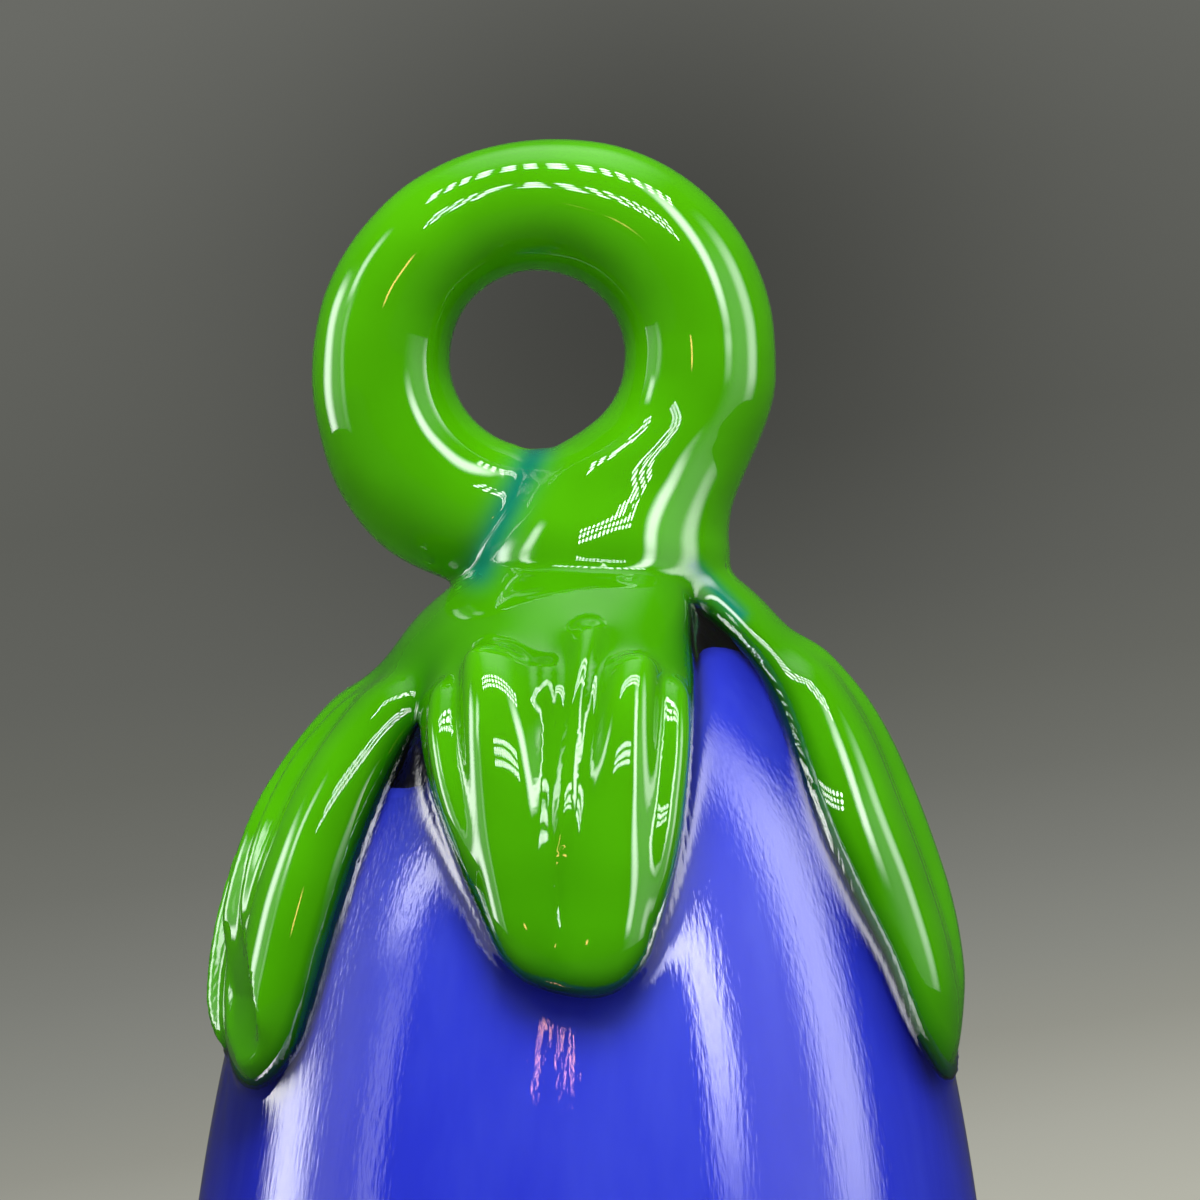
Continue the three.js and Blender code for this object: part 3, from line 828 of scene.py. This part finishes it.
# %% [markdown]
# ## The cased body
# The body is two layers of glass. The outer one is transparent, so what it looks like depends on
# its thickness: beside a sepal one looks through it at the shaded glass under the leaf, and above
# the rim of the inner layer one looks into the dark hollow. Both layers are modelled as closed
# meshes with their real walls. Where a hot sepal lies on the casing, the two wet each other, so the
# casing climbs a little up the sepal's side, which bends the reflections between the sepals.

# %% Sizes of the two layers
CASING_WALL = 2.5
CORE_WALL = 1.5
# The core's outside reaches this far into the casing, so that no air shows between them.
CORE_OVERLAP = 0.05
# How high the casing climbs beside the green glass, and over what width: a steep rim, and a long
# gentle rise.
RIM_CLIMB = 0.42
RIM_WIDTH = 0.32
SLOW_CLIMB = 0.3
SLOW_WIDTH = 1.6
# Between the front and the left sepal the casing stays flat: place below the neck and azimuth,
# and how far that reaches, in mm and radians.
FLAT_PLACE = 10.0
FLAT_AZIMUTH = math.radians(-30)
FLAT_LENGTH = 4.5
FLAT_TURN = 0.35
# Columns round each layer, and rows beside the leaves, below them and in the round bottom.
BODY_COLUMNS = 360
CORE_COLUMNS = 180
LEAF_ROWS = 130
CORE_ROWS = 36
INNER_ROWS = 20
LOW_ROWS = 22
BOTTOM_ROWS = 20
# The flat of the foot is rings down to a small circle, which one face fills.
FLAT_RINGS = 5
FLAT_CENTRE = 0.6
# A layer's inside starts this much below its outside, in mm.
RIM_DROP = 1.0
# The sepals end above this place, in mm below the neck.
LEAF_END = 37.0
# The core's rim in mm below the neck, at azimuths in degrees from the front.
CORE_RIM = [(-180, 7.0), (-110, 9.0), (-48, 13.8), (0, 9.0), (42, 4.2), (100, 6.0), (180, 7.0)]

print("faces round the belly, mm wide:", round(2 * math.pi * BELLY_RADIUS / BODY_COLUMNS, 2))

# %% Helpers that make a layer


def turned(radius, height, azimuth):
    """Points at a radius and a height, for each azimuth: one row of points each."""
    x = radius * np.sin(azimuth)
    y = -radius * np.cos(azimuth)
    return np.stack([x, y, np.broadcast_to(height, x.shape)], -1)


def layer_rows(out, first_s, leaf_rows, climbs=False):
    """Rows of points of one side of a layer, from its top edge down to the middle of the foot."""
    azimuth = np.linspace(0, 2 * math.pi, len(first_s), endpoint=False)
    upper = np.linspace(0, 1, leaf_rows)[:, None]
    lower = np.linspace(0, 1, LOW_ROWS + 1)[1:, None]
    s = first_s + upper * (LEAF_END - first_s)
    s = np.concatenate([s, LEAF_END + lower * (SIDE_LENGTH - LEAF_END) + 0 * first_s])
    radius, height = outline(s, out)
    rows = turned(radius, height, azimuth[None, :])
    if climbs:
        away = np.maximum(green_glass_distance(rows.reshape(-1, 3)), 0).reshape(s.shape)
        beside = azimuth_away(azimuth, FLAT_AZIMUTH) / FLAT_TURN
        flat = np.exp(-(((s - FLAT_PLACE) / FLAT_LENGTH) ** 2) - (beside**2))
        climb = RIM_CLIMB * np.exp(-away / RIM_WIDTH) + SLOW_CLIMB * np.exp(-away / SLOW_WIDTH)
        radius, height = outline(s, out + climb * (1 - flat))
        rows = turned(radius, height, azimuth[None, :])
    # The bottom's curve runs the other way round, so out is minus for it.
    low_radius, low_height = moved_out(bottom_controls, np.linspace(1, 0, BOTTOM_ROWS)[1:], -out)
    round_part = turned(low_radius[:, None], low_height[:, None], azimuth[None, :])
    foot_radius = np.linspace(float(low_radius[-1]), FLAT_CENTRE, FLAT_RINGS + 1)[1:]
    flat_part = turned(foot_radius[:, None], float(low_height[-1]), azimuth[None, :])
    return np.concatenate([rows, round_part, flat_part])


def skin(rows, base, way):
    """Faces between rows of points that go round, and one face inside the last row. They look
    outward for a way of 1 and inward for -1."""
    numbers = base + np.arange(rows.shape[0] * rows.shape[1]).reshape(rows.shape[:2])
    onward = np.roll(numbers, -1, axis=1)
    quads = np.stack([numbers[:-1], numbers[1:], onward[1:], onward[:-1]], -1).reshape(-1, 4)
    return [face[::way] for face in (*quads.tolist(), numbers[-1].tolist())]


def double_walled(name, outside, inside):
    """A closed layer of glass: an outside and an inside, joined round their top edges."""
    count = outside.shape[1]
    base = outside.shape[0] * count
    faces = skin(outside, 0, 1) + skin(inside, base, -1)
    edge = np.arange(count)
    onward = np.roll(edge, -1)
    faces += np.stack([edge, onward, base + onward, base + edge], -1).tolist()
    points = np.concatenate([outside.reshape(-1, 3), inside.reshape(-1, 3)])
    obj = make_object(name, points, faces)
    obj.data.shade_smooth()
    return obj


print("columns round the casing and the core:", BODY_COLUMNS, CORE_COLUMNS)

# %% Make the casing and the core
rim_azimuth = np.degrees(np.linspace(0, 2 * math.pi, CORE_COLUMNS, endpoint=False))
rim_azimuth = (rim_azimuth + 180) % 360 - 180
rim_s = through(rim_azimuth, CORE_RIM, 1)
neck_s = np.zeros(BODY_COLUMNS)
casing_glass = double_walled(
    "glass_body_casing",
    layer_rows(0.0, neck_s, LEAF_ROWS, climbs=True),
    layer_rows(-CASING_WALL, neck_s + RIM_DROP, INNER_ROWS),
)
core_glass = double_walled(
    "glass_body_core",
    layer_rows(-CASING_WALL + CORE_OVERLAP, rim_s, CORE_ROWS),
    layer_rows(-CASING_WALL - CORE_WALL, rim_s + RIM_DROP, INNER_ROWS),
)
print("casing faces:", len(casing_glass.data.polygons), "core faces:", len(core_glass.data.polygons))

# %% [markdown]
# ## Colour and nodes
# Colours are written as they look on a screen, and the renderer wants linear light, so one function
# turns one into the other. A material is a small network of nodes, so another adds a node with its
# settings and links, and a third adds a ramp of colours.

# %% Helpers for materials


def linear(hex_colour):
    """A colour written as #rrggbb, as linear light."""
    values = [int(hex_colour[i:i + 2], 16) / 255 for i in (1, 3, 5)]
    return (*[v / 12.92 if v <= 0.04045 else ((v + 0.055) / 1.055) ** 2.4 for v in values], 1.0)


def add(material, kind, inputs=None, **settings):
    """Adds a node. Each input, by name or number, gets a plain value or a link. A node given as an
    input stands for its first output."""
    node = material.node_tree.nodes.new("ShaderNode" + kind)
    for name, value in settings.items():
        setattr(node, name, value)
    for socket, value in (inputs or {}).items():
        if isinstance(value, bpy.types.Node):
            value = value.outputs[0]
        if isinstance(value, bpy.types.NodeSocket):
            material.node_tree.links.new(value, node.inputs[socket])
        else:
            node.inputs[socket].default_value = value
    return node


def ramp(material, value, stops):
    """A ramp of colours over a value. Its stops are positions and colours, in order."""
    node = add(material, "ValToRGB", {0: value})
    elements = node.color_ramp.elements
    for element, (position, colour) in zip(elements, (stops[0], stops[-1])):
        element.position = position
        element.color = linear(colour)
    for position, colour in stops[1:-1]:
        elements.new(position).color = linear(colour)
    return node


def new_material(name):
    """An empty material."""
    material = bpy.data.materials.new(name)
    material.use_nodes = True
    material.node_tree.nodes.clear()
    return material


print("a middle grey on the screen, as linear light:", round(linear("#808080")[0], 3))

# %% [markdown]
# ## Opaque green glass
# The green is an opaque soda-lime glass. Fire polishing leaves it as smooth as water, so its gloss
# is that of any glass, with an IOR of 1.52, and its colour comes from just under the surface.

# %% Green glass
# The size of its faint clouds, in mm.
CLOUD_SPACING = 8.3333
# The numbers of the colour sockets of a Mix node.
MIX_FACTOR, MIX_A, MIX_B, MIX_OUT = 0, 6, 7, 2

green = new_material("opaque green soda-lime glass")
place = add(green, "TexCoord").outputs["Object"]
clouds = add(green, "TexNoise", {"Vector": place, "Scale": 1 / (CLOUD_SPACING * MM), "Detail": 2.0})
tint = ramp(green, clouds, [(0.35, "#459e02"), (0.65, "#4dab04")])
# Where the bit is thin, the blue under it shows through as teal. The ramp also darkens the thinner
# glass of the grooves between the ribs, which is painted shade, so only the thick ribs keep their full
# colour.
thick = add(green, "Attribute", attribute_name="thickness").outputs["Fac"]
share = add(green, "MapRange", {"Value": thick, "From Min": -0.4, "From Max": 3.6})
depth = ramp(green, share, [(0.1, "#1c5e78"), (0.26, "#7fa98c"), (0.42, "#dce4dc"), (1.0, "#ffffff")])
shaded = add(
    green,
    "Mix",
    {MIX_FACTOR: 1.0, MIX_A: tint, MIX_B: depth},
    data_type="RGBA",
    blend_type="MULTIPLY",
)
# Where two bits were pressed together, the seam keeps a teal tint.
seam = add(green, "Attribute", attribute_name="teal").outputs["Fac"]
tinted = add(
    green,
    "Mix",
    {MIX_FACTOR: seam, MIX_A: shaded.outputs[MIX_OUT], MIX_B: linear("#117a60")},
    data_type="RGBA",
)
surface = add(green, "BsdfPrincipled", {
    "Base Color": tinted.outputs[MIX_OUT],
    "Roughness": 0.02,
    "IOR": 1.52,
})
add(green, "OutputMaterial", {"Surface": surface})
print("nodes of the green glass:", len(green.node_tree.nodes))

# %% [markdown]
# ## Transparent cobalt glass
# Cobalt takes red and green out of the light that crosses the glass, and leaves nearly all the
# blue. The absorption is a property of the volume, so it is set there, per metre. Lamps have to
# reach the core through this glass, so for the rays that look for lamps it is nearly clear. The
# glass was drawn out as it was blown, which leaves fine cords in it that run up the body.

# %% Cobalt casing glass
# The cords' spacing and height, in mm, and how much their pattern is squeezed along the body.
CORD_SPACING = 0.25
CORD_HEIGHT = 0.013
CORD_SQUEEZE = 0.012
COBALT_DENSITY = 330.0
COBALT_BLUE = linear("#88a3f8")

cobalt = new_material("cased cobalt soda-lime glass")
place = add(cobalt, "TexCoord").outputs["Object"]
pulled = add(cobalt, "Mapping", {"Vector": place, "Scale": (1.0, 1.0, CORD_SQUEEZE)})
cords = add(cobalt, "TexNoise", {"Vector": pulled, "Scale": 1 / (CORD_SPACING * MM), "Detail": 2.0})
ripple = add(cobalt, "Bump", {"Height": cords, "Distance": CORD_HEIGHT * MM})
surface = add(cobalt, "BsdfPrincipled", {
    "Normal": ripple,
    "Base Color": (1, 1, 1, 1),
    "Transmission Weight": 1.0,
    "Roughness": 0.01,
    "IOR": 1.5,
})
nearly_clear = add(cobalt, "BsdfTransparent", {"Color": linear("#f6f6f6")})
path = add(cobalt, "LightPath")
mixed = add(cobalt, "MixShader", {0: path.outputs["Is Shadow Ray"], 1: surface, 2: nearly_clear})
absorbed = add(cobalt, "VolumeAbsorption", {"Color": COBALT_BLUE, "Density": COBALT_DENSITY})
add(cobalt, "OutputMaterial", {"Surface": mixed, "Volume": absorbed})
lost = [COBALT_DENSITY * (1 - part) * CASING_WALL * MM for part in COBALT_BLUE[:3]]
print("red, green and blue left after one wall:", [round(math.exp(-part), 2) for part in lost])

# %% [markdown]
# ## Opaque blue glass
# The core is enamel-like blue glass with cloudy pale streaks. They were drawn out lengthwise as the
# bubble was blown, so the pattern is stretched down the body.

# %% Blue core glass
# The streaks' spacing in mm, and how much their pattern is squeezed along the body.
STREAK_SPACING = 5.8824
STREAK_SQUEEZE = 0.12

blue = new_material("opaque blue enamel glass")
place = add(blue, "TexCoord").outputs["Object"]
drawn = add(blue, "Mapping", {"Vector": place, "Scale": (1.0, 1.0, STREAK_SQUEEZE)})
streaks = add(blue, "TexNoise", {
    "Vector": drawn,
    "Scale": 1 / (STREAK_SPACING * MM),
    "Detail": 4.0,
    "Roughness": 0.6,
})
tint = ramp(blue, streaks, [(0.42, "#5763ce"), (0.78, "#7b87d7")])
surface = add(blue, "BsdfPrincipled", {"Base Color": tint, "Roughness": 0.4, "IOR": 1.5})
add(blue, "OutputMaterial", {"Surface": surface})
print("length of a streak in mm:", round(STREAK_SPACING / STREAK_SQUEEZE))

# %% Dress the pieces
for piece in green_pieces.values():
    piece.data.materials.append(green)
casing_glass.data.materials.append(cobalt)
core_glass.data.materials.append(blue)
print("materials:", ", ".join(material.name for material in (green, cobalt, blue)))

# %% [markdown]
# ## The room
# A pale floor sweeps up into a backdrop. The lens, also through glass, sees the wall as a plain
# grey that is lighter near the floor. The gloss mirrors a darker grey, as in a dim room. Light Path
# tells the kinds of rays apart. The floor stays matt paper, so that it takes the shadow.

# %% Floor and backdrop
SWEEP_WIDTH = 1600.0
SWEEP_FRONT = -900.0
SWEEP_BACK = 200.0
SWEEP_RADIUS = 60.0
SWEEP_TOP = 900.0
SWEEP_STEPS = 12

# The floor, the bend and the wall, seen from the side.
profile = [(SWEEP_FRONT, 0.0), (SWEEP_BACK, SWEEP_TOP)]
for turn in np.linspace(math.pi / 2, 0, SWEEP_STEPS + 1):
    bend = SWEEP_BACK - SWEEP_RADIUS * (1 - math.sin(turn)), SWEEP_RADIUS * (1 - math.cos(turn))
    profile.insert(1, bend)
sweep_points = [(x, y, z) for y, z in profile for x in (-SWEEP_WIDTH / 2, SWEEP_WIDTH / 2)]
sweep_faces = [(2 * i, 2 * i + 1, 2 * i + 3, 2 * i + 2) for i in range(len(profile) - 1)]
sweep = make_object("sweep", sweep_points, sweep_faces)
sweep.data.shade_smooth()
print("faces of the sweep:", len(sweep_faces))

# %% Greys of the backdrop
# The height over which the greys run, in mm, and how far they lean, as light pools on the right.
GREY_HEIGHT = 150.0
GREY_LEAN = -0.137
GREYS = [
    (0.03, "#b4b4a8"), (0.085, "#a8a89e"), (0.15, "#93938a"), (0.2, "#888982"), (0.267, "#7b7c76"),
    (0.337, "#6f706a"), (0.41, "#676862"), (0.48, "#62635e"), (0.6, "#5e5f5a"), (0.78, "#62635e"),
    (0.98, "#6a6b66"),
]
# Behind the loop the backdrop falls into shade: its place and width in mm, and its depth.
SHADE_PLACE = (6.2, SWEEP_BACK, 107.6)
SHADE_WIDTH = 41.7
SHADE_DEPTH = 0.53
# Up to this height, in mm, the sweep is matt paper for the lens too.
WALL_START = 4.0

paper = new_material("pale backdrop paper")
place = add(paper, "TexCoord").outputs["Object"]
parts = add(paper, "SeparateXYZ", {0: place}).outputs
lean = add(paper, "Math", {0: parts["X"], 1: GREY_LEAN, 2: parts["Z"]}, operation="MULTIPLY_ADD")
height = add(paper, "Math", {0: lean, 1: GREY_HEIGHT * MM}, operation="DIVIDE", use_clamp=True)
greys = ramp(paper, height, GREYS)
middle = tuple(value * MM for value in SHADE_PLACE)
off = add(paper, "VectorMath", {0: place, 1: middle}, operation="SUBTRACT")
off = add(paper, "VectorMath", {0: off}, operation="LENGTH").outputs["Value"]
off = add(paper, "Math", {0: off, 1: SHADE_WIDTH * MM}, operation="DIVIDE")
off = add(paper, "Math", {0: off, 1: 2.0}, operation="POWER")
shade = add(paper, "Math", {0: math.exp(-1), 1: off}, operation="POWER")
dimmed = add(paper, "Math", {0: shade, 1: -SHADE_DEPTH, 2: 1.0}, operation="MULTIPLY_ADD")
print("greys of the backdrop:", len(GREYS))

# %% What each kind of ray sees of the paper


def lens_share(material):
    """1 for rays of the lens, also through glass, and 0 for all others."""
    rays = add(material, "LightPath").outputs
    both = {0: rays["Is Camera Ray"], 1: rays["Is Transmission Ray"]}
    return add(material, "Math", both, operation="MAXIMUM")


matt = add(paper, "BsdfDiffuse", {"Color": linear("#90908a")})
shown = add(paper, "Emission", {"Color": greys, "Strength": dimmed})
wall = add(paper, "Math", {0: parts["Z"], 1: WALL_START * MM}, operation="GREATER_THAN")
seen = add(paper, "Math", {0: lens_share(paper), 1: wall}, operation="MULTIPLY")
mixed = add(paper, "MixShader", {0: seen, 1: matt, 2: shown})
mirrored = add(paper, "Emission", {"Color": linear("#4a4a47"), "Strength": 1.0})
glossy = add(paper, "LightPath").outputs["Is Glossy Ray"]
mixed = add(paper, "MixShader", {0: glossy, 1: mixed, 2: mirrored})
# From behind, the paper is left out, so that the ornament can be seen from there too.
back = add(paper, "NewGeometry").outputs["Backfacing"]
mixed = add(paper, "MixShader", {0: back, 1: mixed, 2: add(paper, "BsdfTransparent")})
add(paper, "OutputMaterial", {"Surface": mixed})
sweep.data.materials.append(paper)
print("nodes of the paper:", len(paper.node_tree.nodes))

# %% [markdown]
# ## The lamps
# A soft key lamp above the lens, a lamp at each side and one behind light the glass plainly. Gloss
# needs something to mirror, and a lamp's hard edge looks wrong in it. So glowing panels that fade
# out at their edges stand where the walls of a light tent would, and two strips of small lamps hang
# from its roof. Both show only in the gloss, and so change nothing in the plain light.

# %% Lamps
# What the lamps face, in mm.
TARGET = np.array([0.0, 0.0, 75.0])


def around(azimuth, elevation, distance):
    """A place round the ornament, in mm, from its azimuth and elevation in degrees."""
    turn, rise = math.radians(azimuth), math.radians(elevation)
    level = math.cos(rise)
    away = np.array([math.sin(turn) * level, -math.cos(turn) * level, math.sin(rise)])
    return TARGET + away * distance


def facing(place):
    """The turn and place of something at a place in mm that faces the ornament."""
    spot = Vector(place * MM)
    turn = (Vector(TARGET * MM) - spot).to_track_quat("-Z", "Y")
    return Matrix.Translation(spot) @ turn.to_matrix().to_4x4()


def soft_lamp(name, azimuth, elevation, distance, size, level):
    """A square lamp that gives a white surface facing it that level of light."""
    data = bpy.data.lights.new(name, "AREA")
    data.size = size * MM
    data.energy = level * math.pi**2 * (distance * MM) ** 2
    lamp = bpy.data.objects.new(name, data)
    lamp.matrix_world = facing(around(azimuth, elevation, distance))
    lamp.visible_glossy = False
    lamp.visible_transmission = False
    scene.collection.objects.link(lamp)


# Azimuth, elevation, distance and size, in degrees and mm, and level.
soft_lamp("key_lamp", 0, 52, 500, 260, 1.45)
soft_lamp("left_lamp", -85, 14, 420, 250, 0.4)
soft_lamp("right_lamp", 85, 20, 420, 250, 0.38)
soft_lamp("back_lamp", 180, 55, 320, 200, 0.4)
print("lamps:", ", ".join(sorted(light.name for light in bpy.data.lights)))

# %% Light of the room
WORLD_STRENGTH = 0.035

world = bpy.data.worlds.new("room light")
world.use_nodes = True
scene.world = world
faint = world.node_tree.nodes["Background"]
faint.inputs["Color"].default_value = linear("#e4e6e8")
faint.inputs["Strength"].default_value = WORLD_STRENGTH
# Where the paper ends, the lens sees a plain grey.
plain = add(world, "Background", {"Color": linear("#8f9089")})
room = add(world, "MixShader", {0: lens_share(world), 1: faint, 2: plain})
world_output = world.node_tree.nodes["World Output"]
world.node_tree.links.new(room.outputs[0], world_output.inputs["Surface"])
print("nodes of the world:", len(world.node_tree.nodes))

# %% Panels that show in the gloss
# Over what share of its half width a panel fades out at its sides.
PANEL_SIDES = 0.85


def only_in_gloss(obj):
    """Hides a glowing thing from everything but mirror reflections."""
    obj.visible_camera = False
    obj.visible_diffuse = False
    obj.visible_transmission = False
    obj.visible_shadow = False


def panel(name, turn, rise, distance, width, tall, strength, colour="#ffffff", ends=0.75):
    """A glowing veil that faces the ornament and fades out over a share of its half width and half
    height."""
    sheet = make_object(name, [(x, y, 0) for x in (-1, 1) for y in (-1, 1)], [(0, 2, 3, 1)])
    sheet.data.transform(Matrix.Scale(1 / MM, 4))
    sheet.matrix_world = facing(around(turn, rise, distance))
    sheet.scale = (width / 2 * MM, tall / 2 * MM, 1)
    glow = new_material(name)
    place = add(glow, "TexCoord").outputs["Object"]
    parts = add(glow, "SeparateXYZ", {0: place}).outputs
    bright = strength
    for axis, share in (("X", PANEL_SIDES), ("Y", ends)):
        off = add(glow, "Math", {0: parts[axis]}, operation="ABSOLUTE")
        span = {"Value": off, "From Min": 1 - share, "From Max": 1.0, "To Min": 1.0, "To Max": 0.0}
        fade = add(glow, "MapRange", span, interpolation_type="SMOOTHSTEP")
        bright = add(glow, "Math", {0: bright, 1: fade}, operation="MULTIPLY")
    shine = add(glow, "Emission", {"Color": linear(colour), "Strength": bright})
    both = add(glow, "AddShader", {0: shine, 1: add(glow, "BsdfTransparent")})
    add(glow, "OutputMaterial", {"Surface": both})
    sheet.data.materials.append(glow)
    only_in_gloss(sheet)
    return sheet


# Azimuth, elevation, distance, width and height, in degrees and mm, and strength.
panels = [
    panel("left_rear_panel", -97, 4, 420, 195, 430, 10.0, ends=0.45),
    panel("left_high_panel", -72, 30, 420, 100, 190, 10.0),
    panel("left_low_panel", -66, 6, 420, 80, 320, 2.2),
    panel("left_veil", -84, 6, 420, 420, 480, 1.2),
    panel("right_front_panel", 43, 34, 420, 130, 560, 17.0),
    panel("right_panel", 84, 18, 420, 200, 560, 6.5),
    panel("right_veil", 66, 12, 420, 520, 560, 1.2),
    panel("roof_panel", 180, 82, 260, 300, 300, 1.3),
    panel("warm_lamp", -11.7, 9.3, 180, 11, 18, 26.0, "#ffb070"),
]
print("panels:", len(panels))

# %% Strips of small lamps in the roof
# Each strip is some rows of oval lamps that face the loop, all in mm.
STRIP_HEIGHT = 231.0
STRIP_COLUMNS = 14
STRIP_ROWS = 3
LAMP_WIDTH = 9.4
LAMP_SIDES = 10
LAMP_STRENGTH = 24.0
LOOP_HEIGHT = 97.0

glow = new_material("small lamps")
shine = add(glow, "Emission", {"Strength": LAMP_STRENGTH})
add(glow, "OutputMaterial", {"Surface": shine})


def lamp_strip(name, y, column_spacing, row_spacing, lamp_height):
    """Rows of small oval lamps across the view, facing the loop."""
    toward = np.array([0.0, -y, LOOP_HEIGHT - STRIP_HEIGHT])
    toward /= np.linalg.norm(toward)
    across = np.array([1.0, 0.0, 0.0])
    upward = np.cross(across, toward)
    middle = np.array([0.0, y, STRIP_HEIGHT])
    points = []
    for row in np.arange(STRIP_ROWS) - (STRIP_ROWS - 1) / 2:
        for column in np.arange(STRIP_COLUMNS) - (STRIP_COLUMNS - 1) / 2:
            for turn in np.arange(LAMP_SIDES) * 2 * math.pi / LAMP_SIDES:
                right = column * column_spacing + math.cos(turn) * LAMP_WIDTH / 2
                up = row * row_spacing + math.sin(turn) * lamp_height / 2
                points.append(middle + across * right + upward * up)
    faces = np.arange(len(points)).reshape(-1, LAMP_SIDES)
    strip = make_object(name, points, faces, glow)
    only_in_gloss(strip)
    return strip


# The far strip's lamps are as much larger as they are farther.
strips = [
    lamp_strip("near_lamp_strip", -58, 13.3, 10.5, 8.0),
    lamp_strip("far_lamp_strip", -234, 14.1, 17.0, 13.0),
]
print("small lamps:", sum(len(strip.data.polygons) for strip in strips))

# %% [markdown]
# ## Joining the looks to the model
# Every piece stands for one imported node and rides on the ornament's one body.

# %% Ride, replace and hand over
for name, piece in green_pieces.items():
    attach(piece, "root")
    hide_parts(name)
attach(casing_glass, "root")
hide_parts("body_casing")
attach(core_glass, "root")
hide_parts("body_core")

scene.view_settings.view_transform = "Standard"
